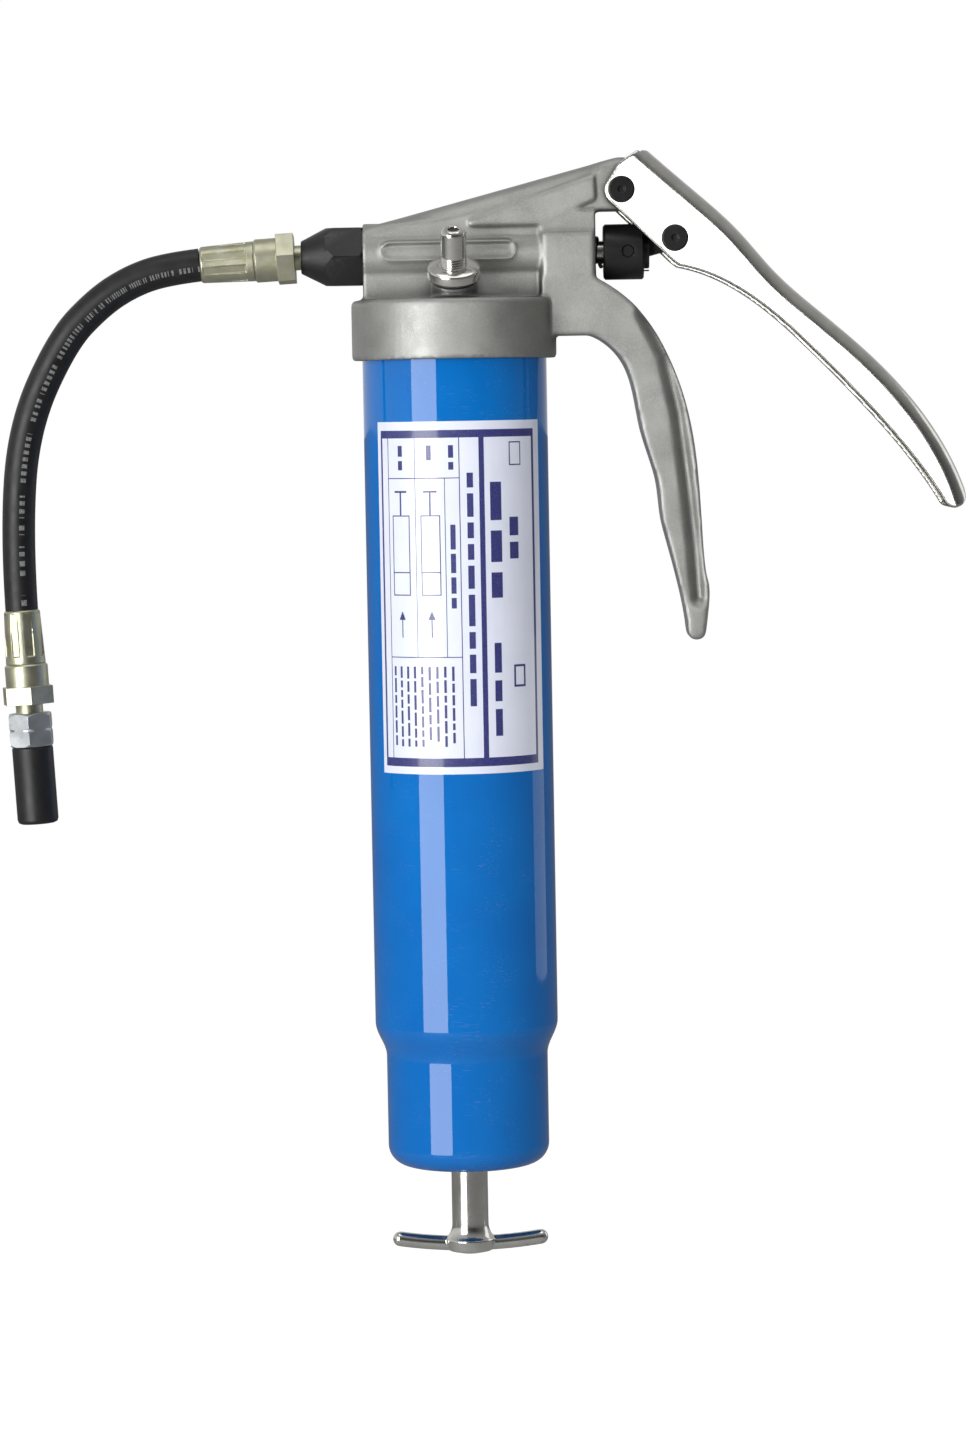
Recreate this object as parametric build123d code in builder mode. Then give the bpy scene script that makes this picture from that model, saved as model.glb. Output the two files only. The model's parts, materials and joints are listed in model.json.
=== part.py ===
from build123d import *
import os
from math import atan2, cos, degrees, hypot, pi, radians, sin, sqrt, tan

# One-hand pistol-lever cartridge grease gun. Millimetres, +Z up.
# The origin is on the barrel's axis, in the plane of the collar's lower face.
# +X points to the lever and the grip, -X to the hose, -Y to the side with the filler valve.

os.makedirs("parts", exist_ok=True)

# Barrel: a drawn steel tube for one standard cartridge, necked in at its foot
barrel_radius = 29.0
barrel_wall = 1.2
barrel_thread_radius = 28.6
barrel_thread_height = 12.0
shoulder_top = -209.5
shoulder_foot = -220.5
barrel_neck_radius = 25.6
barrel_floor = -255.3
barrel_corner = 6.4

# Label wrapped round the front of the barrel
label_thickness = 0.1
label_top = -19.3
label_height = 109.6
label_from_angle = -147.0
label_sweep = 119.0

# Head casting
collar_radius = 32.2
collar_height = 18.8
collar_round = 1.6
socket_radius = 28.7
socket_height = 14.0
gasket_inner_radius = 25.0
body_left = -28.2
block_left = 27.5
block_right = 44.9
block_half_width = 11.0
block_ledge = 38.8
block_foot = 6.8
block_corner = 2.0
pump_axis_height = 32.7
pump_wall_radius = 10.2
pedestal_half_width = 8.4
arm_half_width = 8.6
arm_root_height = 41.3
arm_tip_height = 61.9
arm_tip_x = 50.0
arm_underside = 45.6
arm_round = 3.6
arm_end_radius = 10.2
pocket_depth = 4.6
pocket_corner = 0.9

# Pump bores along the pump axis
plunger_radius = 3.6
plunger_running_gap = 0.05
spring_bore_radius = 5.6
spring_bore_floor = 16.2
counterbore_radius = 9.0
counterbore_floor = 36.2
outlet_bore_radius = 6.5
outlet_bore_floor = -16.0
grease_inlet_radius = 3.0

# Lever linkage. Every place is that of the open lever.
pivot = Vector(53.1, 0, 51.9)
drive = Vector(69.6, 0, 36.5)
wrist = Vector(55.0, 0, pump_axis_height)
lever_half_width = 10.8
lever_sheet = 1.6
lever_back_round = 5.6
lever_tip_round = 3.9
pin_radius = 3.0
drive_pin_radius = 2.5
pin_head_radius = 4.2
pin_head_height = 1.5
wrist_pin_radius = 2.0
pin_running_gap = 0.05
link_width = 6.0
link_slack = 0.6

# Crosshead on the plunger's end
crosshead_radius = 8.7
crosshead_left = 47.4
crosshead_step = 60.0
crosshead_right = 61.7
plunger_tip = 5.0

# Filler valve on the shoulder of the collar, leaning forwards
valve_lean = 27.0
valve_axis = Vector(0, -sin(radians(valve_lean)), cos(radians(valve_lean)))
valve_seat = Vector(0.5, -22.1, 24.6)
valve_washer_thickness = 0.6
valve_flange_radius = 8.4
valve_flange_height = 4.2
valve_stem_radius = 4.0
valve_stem_height = 12.3
valve_boss_radius = 7.3

# Hose line
fitting_tilt = 3.2
hex_flats = 15.0
hex_width = 5.6
crimp_collar_radius = 6.8
crimp_collar_length = 7.2
ferrule_length = 17.0
ferrule_mouth_radius = 5.7
ferrule_foot_radius = 6.3
hose_radius = 5.2
hose_route = [
    (-79.5, 31.0),
    (-90.8, 29.8),
    (-101.7, 26.1),
    (-111.7, 19.8),
    (-123.3, 8.1),
    (-136.2, -18.8),
    (-139.3, -52.5),
    (-138.3, -76.6),
]
outlet_lean = 3.04

# Coupler on the hose's end
coupler_radius = 6.5
coupler_length = 24.6
jaw_radius = 4.7
jaw_mouth_radius = 3.35
jaw_length = 9.0

# Follower, its rod and the T-handle
rod_radius = 4.0
rod_running_gap = 0.06
rod_top = 6.0
bush_radius = 7.5
follower_radius = 27.4
follower_top = 8.0
follower_height = 13.0
handle_top = -255.7
handle_stem_radius = 5.8
handle_bar_height = -281.4
handle_half_span = 24.8


def axis_plane(origin, along, radial):
    """Plane whose local Y runs along a turned piece's axis and whose local X is its radius."""
    radial = Vector(*radial)
    return Plane(origin=origin, x_dir=radial, z_dir=radial.cross(Vector(*along)))


def turned(plane, outline, mode=Mode.ADD):
    """Turn a closed outline of (radius, distance along the axis) points round a plane's Y axis."""
    with BuildSketch(plane) as profile:
        with BuildLine():
            Polyline(*outline, close=True)
        make_face()
    revolve(profile.sketch, axis=Axis(plane.origin, plane.y_dir), mode=mode)


def across(plane, distance, turn=0.0):
    """Plane square to a turned piece's axis, a distance along it, for hexagons and cross-sections."""
    side = plane.x_dir.rotate(Axis((0, 0, 0), plane.y_dir), turn)
    return Plane(origin=plane.origin + plane.y_dir * distance, x_dir=side, z_dir=plane.y_dir)


def coil(plane, mean_radius, wire_radius, length, turns):
    """A helical spring of round wire along a plane's Y axis, starting at its origin."""
    rise = length - 2 * wire_radius
    centre_line = Helix(
        pitch=rise / turns,
        height=rise,
        radius=mean_radius,
        center=plane.origin + plane.y_dir * wire_radius,
        direction=plane.y_dir,
        mode=Mode.PRIVATE,
    )
    with BuildSketch(Plane(origin=centre_line @ 0, z_dir=centre_line % 0)) as wire:
        Circle(wire_radius)
    sweep(wire.sketch, path=centre_line, is_frenet=True)


def barrel_outline(inset, top):
    """Half outline of the barrel, closed along its axis, drawn in the current BuildLine."""
    side = barrel_radius - inset
    neck = barrel_neck_radius - inset
    floor = barrel_floor + inset
    corner = barrel_corner - inset
    middle = ((side + neck) / 2, (shoulder_top + shoulder_foot) / 2)
    wall = Line((side, top), (side, shoulder_top))
    outer_bend = TangentArc(wall @ 1, middle, tangent=wall % 1)
    inner_bend = TangentArc(outer_bend @ 1, (neck, shoulder_foot), tangent=outer_bend % 1)
    foot = Line(inner_bend @ 1, (neck, floor + corner))
    edge = TangentArc(foot @ 1, (neck - corner, floor), tangent=foot % 1)
    Polyline(edge @ 1, (0, floor), (0, top), wall @ 0)


# ------------------------------------------------------------------ barrel

with BuildPart() as barrel:
    with BuildSketch(Plane.XZ):
        with BuildLine():
            barrel_outline(0.0, 0.0)
        make_face()
    revolve(axis=Axis.Z)
    Cylinder(
        barrel_thread_radius,
        barrel_thread_height,
        align=(Align.CENTER, Align.CENTER, Align.MIN),
    )
    with BuildSketch(Plane.XZ):
        with BuildLine():
            barrel_outline(barrel_wall, barrel_thread_height + 1.0)
        make_face()
    revolve(axis=Axis.Z, mode=Mode.SUBTRACT)
    with Locations((0, 0, barrel_floor)):
        Cylinder(bush_radius, 4 * barrel_wall, mode=Mode.SUBTRACT)
barrel.part.label = "barrel"
export_step(barrel.part, "parts/barrel.step")

with BuildPart() as barrel_label:
    with BuildSketch(Plane.XY.offset(label_top)):
        with BuildLine():
            inner = CenterArc((0, 0), barrel_radius, label_from_angle, label_sweep)
            outer = CenterArc(
                (0, 0), barrel_radius + label_thickness, label_from_angle, label_sweep
            )
            Line(inner @ 0, outer @ 0)
            Line(inner @ 1, outer @ 1)
        make_face()
    extrude(amount=-label_height)
barrel_label.part.label = "barrel_label"
export_step(barrel_label.part, "parts/barrel_label.step")

with BuildPart() as barrel_gasket:
    with BuildSketch(Plane.XY.offset(barrel_thread_height)):
        Circle(barrel_thread_radius)
        Circle(gasket_inner_radius, mode=Mode.SUBTRACT)
    extrude(amount=socket_height - barrel_thread_height)
barrel_gasket.part.label = "barrel_gasket"
export_step(barrel_gasket.part, "parts/barrel_gasket.step")

with BuildPart() as rod_guide_bush:
    bush_plane = axis_plane((0, 0, barrel_floor), (0, 0, 1), (1, 0, 0))
    turned(bush_plane, [
        (rod_radius + rod_running_gap, 0.0),
        (bush_radius, 0.0),
        (bush_radius, barrel_wall),
        (bush_radius + 2.0, barrel_wall),
        (bush_radius + 2.0, barrel_wall + 4.0),
        (rod_radius + rod_running_gap, barrel_wall + 4.0),
    ])
rod_guide_bush.part.label = "rod_guide_bush"
export_step(rod_guide_bush.part, "parts/rod_guide_bush.step")


# ------------------------------------------------------------------ head casting

with BuildPart() as arm:
    # Sloping arm from the hose side of the head up to the lever's pivot
    slope = Vector(arm_tip_x - body_left, 0, arm_tip_height - arm_root_height).normalized()
    tangent_point = pivot + Vector(-slope.Z, 0, slope.X) * arm_end_radius
    nose = pivot + Vector(slope.X, 0, slope.Z) * arm_end_radius
    nose_foot = pivot.X + sqrt(arm_end_radius**2 - (pivot.Z - arm_underside) ** 2)
    with BuildSketch(Plane.XZ):
        with BuildLine():
            ridge = Line((body_left, arm_root_height), (tangent_point.X, tangent_point.Z))
            end = ThreePointArc(ridge @ 1, (nose.X, nose.Z), (nose_foot, arm_underside))
            Polyline(
                end @ 1,
                (block_right, arm_underside),
                (block_right, pump_axis_height),
                (body_left, pump_axis_height),
                ridge @ 0,
            )
        make_face()
    extrude(amount=arm_half_width, both=True)
    top_edges = arm.edges().filter_by(
        lambda e: abs(abs(e.center().Y) - arm_half_width) < 0.01 and e.center().Z > arm_underside + 0.5
    )
    fillet(top_edges, arm_round)
    # Triangular lightening pocket in each side of the arm
    for side in (-1, 1):
        with BuildSketch(Plane.XZ.offset(side * (arm_half_width - pocket_depth))):
            with BuildLine():
                Polyline((1.0, 41.4), (44.6, 57.0), (44.9, 49.0), (27.2, 41.4), close=True)
            make_face()
            fillet(vertices(), pocket_corner)
        extrude(amount=side * (pocket_depth + 1))

with BuildPart() as grip:
    # Fixed curved grip, running down from the block between the lever and the barrel
    with BuildSketch(Plane.XZ):
        with BuildLine():
            back = Spline(
                (44.9, 24.6), (58.1, 14.4), (69.1, -4.7), (76.4, -42.6), (78.4, -70.0), (77.9, -86.4),
                tangents=[(1, -0.55), (-0.14, -1)],
            )
            tip = ThreePointArc(back @ 1, (75.0, -89.8), (71.8, -86.6))
            front = Spline(
                tip @ 1, (69.2, -71.5), (66.2, -59.5), (64.0, -50.0), (63.1, -41.0),
                (58.2, -23.3), (52.3, -1.2), (44.0, 6.2), (33.0, block_foot),
            )
            Polyline(front @ 1, (block_left, block_foot), (block_left, 24.6), back @ 0)
        make_face()
    extrude(amount=block_half_width, both=True)
    with BuildSketch(Plane.YZ):
        with BuildLine():
            Polyline(
                (-block_half_width, 30), (block_half_width, 30), (block_half_width, 14),
                (7.4, -92), (-7.4, -92), (-block_half_width, 14),
                close=True,
            )
        make_face()
    extrude(amount=120, mode=Mode.INTERSECT)

with BuildPart() as head_casting:
    Cylinder(collar_radius, collar_height, align=(Align.CENTER, Align.CENTER, Align.MIN))
    fillet(head_casting.edges().group_by(Axis.Z)[-1], collar_round)
    # Pump body: a round wall about the pump axis on a narrower pedestal
    with BuildSketch(Plane.YZ.offset(body_left)):
        with Locations((0, pump_axis_height)):
            Circle(pump_wall_radius)
        with Locations((0, collar_height - 4)):
            Rectangle(
                2 * pedestal_half_width,
                pump_axis_height - collar_height + 4,
                align=(Align.CENTER, Align.MIN),
            )
    extrude(amount=block_left - body_left + 1)
    # Block that holds the counterbore and carries the grip
    with BuildSketch(Plane.XY.offset(block_foot)):
        with Locations(((block_left + block_right) / 2, 0)):
            RectangleRounded(block_right - block_left, 2 * block_half_width, block_corner)
    extrude(amount=block_ledge - block_foot)
    with Locations(((block_left + block_right) / 2, 0, block_ledge - 1)):
        Box(
            block_right - block_left,
            2 * arm_half_width + 1.6,
            arm_underside - block_ledge + 1,
            align=(Align.CENTER, Align.CENTER, Align.MIN),
        )
    add(arm.part)
    add(grip.part)
    # Boss for the filler valve
    boss_plane = axis_plane(valve_seat, valve_axis, (1, 0, 0))
    turned(boss_plane, [(0, -9), (valve_boss_radius, -9), (valve_boss_radius, 0), (0, 0)])
    # Raised blank cartouche on the front of the pump body
    with BuildSketch(Plane.XZ.offset(pump_wall_radius - 2.0)):
        with Locations((-1.2, pump_axis_height + 1.2)):
            SlotOverall(42.6, 6.4)
            SlotOverall(41.2, 5.0, mode=Mode.SUBTRACT)
    extrude(amount=2.4)
    # Bores
    Cylinder(
        socket_radius,
        socket_height,
        align=(Align.CENTER, Align.CENTER, Align.MIN),
        mode=Mode.SUBTRACT,
    )
    pump_plane = axis_plane((0, 0, pump_axis_height), (1, 0, 0), (0, 1, 0))
    plunger_bore_radius = plunger_radius + plunger_running_gap
    turned(pump_plane, [
        (0, body_left - 1),
        (outlet_bore_radius, body_left - 1),
        (outlet_bore_radius, outlet_bore_floor),
        (plunger_bore_radius, outlet_bore_floor),
        (plunger_bore_radius, spring_bore_floor),
        (spring_bore_radius, spring_bore_floor),
        (spring_bore_radius, counterbore_floor),
        (counterbore_radius, counterbore_floor),
        (counterbore_radius, block_right + 1),
        (0, block_right + 1),
    ], mode=Mode.SUBTRACT)
    # Groove for the plunger's seal
    turned(pump_plane, [(0, 10.0), (5.4, 10.0), (5.4, 13.0), (0, 13.0)], mode=Mode.SUBTRACT)
    # Grease inlet from the socket up into the pump bore
    with Locations((0, 0, socket_height - 1)):
        Cylinder(
            grease_inlet_radius,
            pump_axis_height - socket_height + 1,
            align=(Align.CENTER, Align.CENTER, Align.MIN),
            mode=Mode.SUBTRACT,
        )
    # Hole for the pivot pin
    with Locations(Plane.XZ):
        with Locations((pivot.X, pivot.Z)):
            Cylinder(pin_radius + pin_running_gap, 40, mode=Mode.SUBTRACT)
    # Tapped hole for the filler valve
    turned(boss_plane, [(0, -16), (5.0, -16), (5.0, 1), (0, 1)], mode=Mode.SUBTRACT)
head_casting.part.label = "head_casting"
export_step(head_casting.part, "parts/head_casting.step")


# ------------------------------------------------------------------ filler valve

with BuildPart() as valve_washer:
    turned(boss_plane, [
        (5.2, 0.0),
        (valve_boss_radius - 0.3, 0.0),
        (valve_boss_radius - 0.3, valve_washer_thickness),
        (5.2, valve_washer_thickness),
    ])
valve_washer.part.label = "valve_washer"
export_step(valve_washer.part, "parts/valve_washer.step")

flange_foot = valve_washer_thickness
flange_head = flange_foot + valve_flange_height
stem_head = flange_head + valve_stem_height
with BuildPart() as valve_body:
    # Threaded shank, round flange and the nipple that a filler pump's hose is pushed over
    turned(boss_plane, [
        (0, -8.0),
        (4.9, -8.0),
        (4.9, flange_foot),
        (valve_flange_radius, flange_foot),
        (valve_flange_radius, flange_head - 1.0),
        (valve_flange_radius - 1.3, flange_head),
        (5.0, flange_head),
        (valve_stem_radius, flange_head + 0.8),
        (valve_stem_radius, stem_head - 1.1),
        (valve_stem_radius - 1.2, stem_head),
        (0, stem_head),
    ])
    # Stepped bore for the bleed pin and its spring
    turned(boss_plane, [
        (0, -9.0),
        (1.1, -9.0),
        (1.1, -6.0),
        (2.6, -6.0),
        (2.6, stem_head - 4.0),
        (1.7, stem_head - 4.0),
        (1.7, stem_head + 1.0),
        (0, stem_head + 1.0),
    ], mode=Mode.SUBTRACT)
valve_body.part.label = "valve_body"
export_step(valve_body.part, "parts/valve_body.step")

with BuildPart() as valve_pin:
    turned(boss_plane, [
        (0, stem_head - 12.0),
        (1.2, stem_head - 12.0),
        (1.2, stem_head - 6.0),
        (2.3, stem_head - 6.0),
        (2.3, stem_head - 4.1),
        (1.45, stem_head - 4.1),
        (1.45, stem_head - 0.4),
        (0, stem_head - 0.4),
    ])
    fillet(valve_pin.edges().sort_by(Axis(boss_plane.origin, valve_axis))[-1], 0.3)
valve_pin.part.label = "valve_pin"
export_step(valve_pin.part, "parts/valve_pin.step")

with BuildPart() as valve_spring:
    valve_spring_foot = axis_plane(valve_seat - valve_axis * 5.9, valve_axis, (1, 0, 0))
    coil(valve_spring_foot, 1.95, 0.3, stem_head - 6.1 + 5.9, 8)
valve_spring.part.label = "valve_spring"
export_step(valve_spring.part, "parts/valve_spring.step")


# ------------------------------------------------------------------ pump

with BuildPart() as plunger_seal:
    turned(pump_plane, [
        (plunger_radius + 0.03, 10.1),
        (5.3, 10.1),
        (5.3, 12.9),
        (plunger_radius + 0.03, 12.9),
    ])
    fillet(plunger_seal.edges(), 0.5)
plunger_seal.part.label = "plunger_seal"
export_step(plunger_seal.part, "parts/plunger_seal.step")

with BuildPart() as plunger:
    turned(pump_plane, [
        (0, plunger_tip),
        (plunger_radius - 0.8, plunger_tip),
        (plunger_radius, plunger_tip + 0.8),
        (plunger_radius, crosshead_left + 2.6),
        (0, crosshead_left + 2.6),
    ])
plunger.part.label = "plunger"
export_step(plunger.part, "parts/plunger.step")

with BuildPart() as crosshead:
    # Round slider that carries the wrist pin; it runs into the counterbore on the stroke
    turned(pump_plane, [
        (0, crosshead_left),
        (crosshead_radius - 0.6, crosshead_left),
        (crosshead_radius, crosshead_left + 0.6),
        (crosshead_radius, crosshead_step - 0.5),
        (crosshead_radius - 0.5, crosshead_step),
        (6.2, crosshead_step),
        (6.2, crosshead_right),
        (0, crosshead_right),
    ])
    turned(pump_plane, [
        (0, crosshead_left - 1),
        (plunger_radius, crosshead_left - 1),
        (plunger_radius, crosshead_left + 2.6),
        (0, crosshead_left + 2.6),
    ], mode=Mode.SUBTRACT)
    # Slot for the link, open to the lever
    with Locations((wrist.X - 4.5, 0, wrist.Z)):
        Box(
            20,
            link_width + 0.6,
            11.6,
            align=(Align.MIN, Align.CENTER, Align.CENTER),
            mode=Mode.SUBTRACT,
        )
    with Locations(Plane.XZ):
        with Locations((wrist.X, wrist.Z)):
            Cylinder(wrist_pin_radius, 30, mode=Mode.SUBTRACT)
crosshead.part.label = "crosshead"
export_step(crosshead.part, "parts/crosshead.step")

with BuildPart() as wrist_pin:
    with BuildSketch(Plane.XZ):
        with Locations((wrist.X, wrist.Z)):
            Circle(wrist_pin_radius)
    extrude(amount=crosshead_radius - 0.6, both=True)
    chamfer(wrist_pin.edges(), 0.3)
wrist_pin.part.label = "wrist_pin"
export_step(wrist_pin.part, "parts/wrist_pin.step")

with BuildPart() as return_spring:
    spring_plane = axis_plane((spring_bore_floor + 0.1, 0, pump_axis_height), (1, 0, 0), (0, 1, 0))
    coil(spring_plane, 4.45, 0.65, crosshead_left - spring_bore_floor - 0.2, 12)
return_spring.part.label = "return_spring"
export_step(return_spring.part, "parts/return_spring.step")

with BuildPart() as toggle_link:
    # Flat link between the crosshead's wrist pin and the lever's drive pin
    reach = hypot(drive.X - wrist.X, drive.Z - wrist.Z)
    link_angle = degrees(atan2(drive.Z - wrist.Z, drive.X - wrist.X))
    link_plane = Plane(
        origin=wrist,
        x_dir=(cos(radians(link_angle)), 0, sin(radians(link_angle))),
        z_dir=(0, -1, 0),
    )
    with BuildSketch(link_plane):
        Circle(4.0)
        with Locations((reach, 0)):
            Circle(5.2)
        with Locations((reach / 2, 0)):
            Rectangle(reach, 6.4)
        Circle(wrist_pin_radius + pin_running_gap, mode=Mode.SUBTRACT)
        with Locations((reach, 0)):
            Circle(drive_pin_radius + link_slack, mode=Mode.SUBTRACT)
    extrude(amount=link_width / 2, both=True)
    chamfer(toggle_link.faces().filter_by(Axis.Y).edges(), 0.4)
toggle_link.part.label = "toggle_link"
export_step(toggle_link.part, "parts/toggle_link.step")


# ------------------------------------------------------------------ lever

def lever_outline(shift_x, shift_z):
    """Side outline of the lever, moved by a shift, drawn in the current BuildLine."""

    def at(x, z):
        return (x + shift_x, z + shift_z)

    back = Spline(
        at(61.6, 64.0), at(76.0, 51.3), at(90.0, 38.2), at(100.6, 25.9), at(114.3, 13.4),
        at(132.4, -2.7), at(150.7, -25.0), at(161.1, -47.6),
    )
    tip = Line(back @ 1, at(154.6, -50.2))
    front = Spline(
        tip @ 1, at(144.0, -34.2), at(127.9, -15.2), at(112.6, 0.7), at(95.0, 16.4),
        at(79.5, 25.2), at(70.8, 27.7),
    )
    heel = Line(front @ 1, at(68.4, 29.6))
    edge = Line(heel @ 1, at(49.4, 48.0))
    eye = ThreePointArc(edge @ 1, at(47.9, 50.6), at(48.2, 53.6))
    Polyline(eye @ 1, at(52.5, 60.3), at(58.2, 64.1), back @ 0)


def back_edges(channel):
    """The two long edges along the back of the lever, one on each side."""
    sides = channel.edges().filter_by(GeomType.BSPLINE)
    return sides.sort_by(lambda e: (e @ 0.5).X + (e @ 0.5).Z)[-2:]


with BuildPart() as lever_hollow:
    # Inside of the channel: the same outline, moved away from the back by the sheet's thickness
    with BuildSketch(Plane.XZ):
        with BuildLine():
            lever_outline(-1.4, -1.0)
        make_face()
    extrude(amount=lever_half_width - lever_sheet, both=True)
    inner_back = back_edges(lever_hollow)
    fillet(inner_back, lever_back_round - lever_sheet)
    # The channel is closed at the tip
    split(
        bisect_by=Plane(origin=(160.2, 0, -45.6), z_dir=(0.37, 0, -0.93)),
        keep=Keep.BOTTOM,
    )

with BuildPart() as lever:
    with BuildSketch(Plane.XZ):
        with BuildLine():
            lever_outline(0.0, 0.0)
        make_face()
    extrude(amount=lever_half_width, both=True)
    outer_back = back_edges(lever)
    fillet(outer_back, lever_back_round)
    add(lever_hollow.part, mode=Mode.SUBTRACT)
    # The channel is open at its top end
    with BuildSketch(Plane.XZ):
        with BuildLine():
            Polyline((46, 50), (56.5, 60.4), (61.0, 61.6), (56.0, 68), (40, 62), close=True)
        make_face()
    extrude(amount=lever_half_width - lever_sheet, both=True, mode=Mode.SUBTRACT)
    # Rounded end
    tip_plane = Plane(origin=(156.1, 0, -45.5), x_dir=(0.37, 0, -0.93), z_dir=(0, -1, 0))
    with BuildSketch(tip_plane):
        Rectangle(3 * lever_tip_round, 3 * lever_tip_round, align=(Align.MIN, Align.CENTER))
        Circle(lever_tip_round, mode=Mode.SUBTRACT)
    extrude(amount=2 * lever_half_width, both=True, mode=Mode.SUBTRACT)
    with Locations(Plane.XZ):
        with Locations((pivot.X, pivot.Z)):
            Cylinder(pin_radius, 40, mode=Mode.SUBTRACT)
        with Locations((drive.X, drive.Z)):
            Cylinder(drive_pin_radius, 40, mode=Mode.SUBTRACT)
lever.part.label = "lever"
export_step(lever.part, "parts/lever.step")


def headed_pin(place, radius):
    """Pin across the lever with a flat head at each end, drawn in the current BuildPart."""
    pin_plane = axis_plane(place, (0, -1, 0), (1, 0, 0))
    face = lever_half_width
    top = face + pin_head_height
    turned(pin_plane, [
        (0, -top),
        (pin_head_radius - 0.4, -top),
        (pin_head_radius, -top + 0.4),
        (pin_head_radius, -face),
        (radius, -face),
        (radius, face),
        (pin_head_radius, face),
        (pin_head_radius, top - 0.4),
        (pin_head_radius - 0.4, top),
        (1.2, top),
        (0.8, top - 0.5),
        (0, top - 0.5),
    ])


with BuildPart() as lever_pivot_pin:
    headed_pin(pivot, pin_radius)
lever_pivot_pin.part.label = "lever_pivot_pin"
export_step(lever_pivot_pin.part, "parts/lever_pivot_pin.step")

with BuildPart() as lever_drive_pin:
    headed_pin(drive, drive_pin_radius)
lever_drive_pin.part.label = "lever_drive_pin"
export_step(lever_drive_pin.part, "parts/lever_drive_pin.step")


# ------------------------------------------------------------------ outlet and hose

outlet_plane = axis_plane((body_left, 0, pump_axis_height), (-1, 0, 0), (0, 1, 0))
adapter_hex_length = 10.6
adapter_length = 19.4
with BuildPart() as outlet_adapter:
    # Hexagon turned down to a cone, with a threaded shank in the head
    with BuildSketch(across(outlet_plane, 0.0)):
        RegularPolygon(9.0, 6, major_radius=False)
    extrude(amount=adapter_length)
    turned(outlet_plane, [
        (0, 0),
        (9.6, 0),
        (10.4, 0.9),
        (10.4, adapter_hex_length - 1.6),
        (5.1, adapter_length),
        (0, adapter_length),
    ], mode=Mode.INTERSECT)
    turned(outlet_plane, [(0, -10.4), (6.3, -10.4), (6.3, 0), (0, 0)])
    # Outlet seat, ball chamber and the socket for the hose fitting
    turned(outlet_plane, [
        (0, -11.0),
        (1.7, -11.0),
        (1.7, -8.4),
        (2.9, -7.2),
        (2.9, 6.0),
        (1.5, 6.0),
        (1.5, 9.0),
        (4.6, 9.0),
        (4.6, adapter_length + 1),
        (0, adapter_length + 1),
    ], mode=Mode.SUBTRACT)
outlet_adapter.part.label = "outlet_adapter"
export_step(outlet_adapter.part, "parts/outlet_adapter.step")

ball_radius = 2.5
ball_rest = -6.45
with BuildPart() as outlet_ball:
    with Locations((body_left - ball_rest, 0, pump_axis_height)):
        Sphere(ball_radius)
outlet_ball.part.label = "outlet_ball"
export_step(outlet_ball.part, "parts/outlet_ball.step")

with BuildPart() as outlet_spring:
    outlet_spring_foot = axis_plane(
        (body_left - 5.9, 0, pump_axis_height), (1, 0, 0), (0, 1, 0)
    )
    coil(outlet_spring_foot, 2.2, 0.3, 5.9 - ball_rest - ball_radius + 0.7, 5)
outlet_spring.part.label = "outlet_spring"
export_step(outlet_spring.part, "parts/outlet_spring.step")


def hose_end(plane, stub_radius, stub_from, hex_from, turn):
    """Hexagon, neck and crimp collar of one hose end, drawn in the current BuildPart."""
    hex_to = hex_from + hex_width
    turned(plane, [
        (0, stub_from),
        (stub_radius, stub_from),
        (stub_radius, hex_from),
        (0, hex_from),
    ])
    with BuildSketch(across(plane, hex_from, turn)) as nut:
        RegularPolygon(hex_flats / 2, 6, major_radius=False)
    extrude(nut.sketch, amount=hex_width)
    turned(plane, [
        (0, hex_to),
        (crimp_collar_radius, hex_to),
        (crimp_collar_radius, hex_to + crimp_collar_length - 0.6),
        (crimp_collar_radius - 0.6, hex_to + crimp_collar_length),
        (0, hex_to + crimp_collar_length),
    ])


def crimped_ferrule(plane, start):
    """Tapered ferrule with eight long crimp flats, drawn in the current BuildPart."""
    turned(plane, [
        (0, start),
        (ferrule_foot_radius, start),
        (ferrule_mouth_radius, start + ferrule_length - 0.5),
        (ferrule_mouth_radius - 0.5, start + ferrule_length),
        (0, start + ferrule_length),
    ])
    for flat in range(8):
        crimp = across(plane, start + 2.4, 45.0 * flat + 22.5)
        crimp_box = Plane(origin=crimp.origin + crimp.x_dir * 5.55, x_dir=crimp.x_dir, z_dir=crimp.z_dir)
        with BuildSketch(crimp_box) as flat_face:
            Rectangle(2, 2.6, align=(Align.MIN, Align.CENTER))
        extrude(flat_face.sketch, amount=ferrule_length - 3.2, mode=Mode.SUBTRACT)


tilt = radians(fitting_tilt)
inlet_mouth = Vector(body_left - adapter_length, 0, pump_axis_height)
inlet_plane = axis_plane(inlet_mouth, (-cos(tilt), 0, -sin(tilt)), (0, 1, 0))
inlet_hex_from = 2.0
inlet_ferrule_from = inlet_hex_from + hex_width + crimp_collar_length

with BuildPart() as hose_inlet_fitting:
    hose_end(inlet_plane, 3.9, -8.0, inlet_hex_from, 5.8)
hose_inlet_fitting.part.label = "hose_inlet_fitting"
export_step(hose_inlet_fitting.part, "parts/hose_inlet_fitting.step")

with BuildPart() as hose_inlet_ferrule:
    crimped_ferrule(inlet_plane, inlet_ferrule_from)
hose_inlet_ferrule.part.label = "hose_inlet_ferrule"
export_step(hose_inlet_ferrule.part, "parts/hose_inlet_ferrule.step")


def bend_radii(route):
    """Largest arc that each corner of a route has room for."""
    points = [Vector(x, z) for x, z in route]
    radii = []
    for before, corner, after in zip(points, points[1:], points[2:]):
        turn = (corner - before).get_angle(after - corner)
        shorter = min((corner - before).length, (after - corner).length)
        radii.append(0.45 * shorter / tan(radians(turn) / 2))
    return radii


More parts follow.
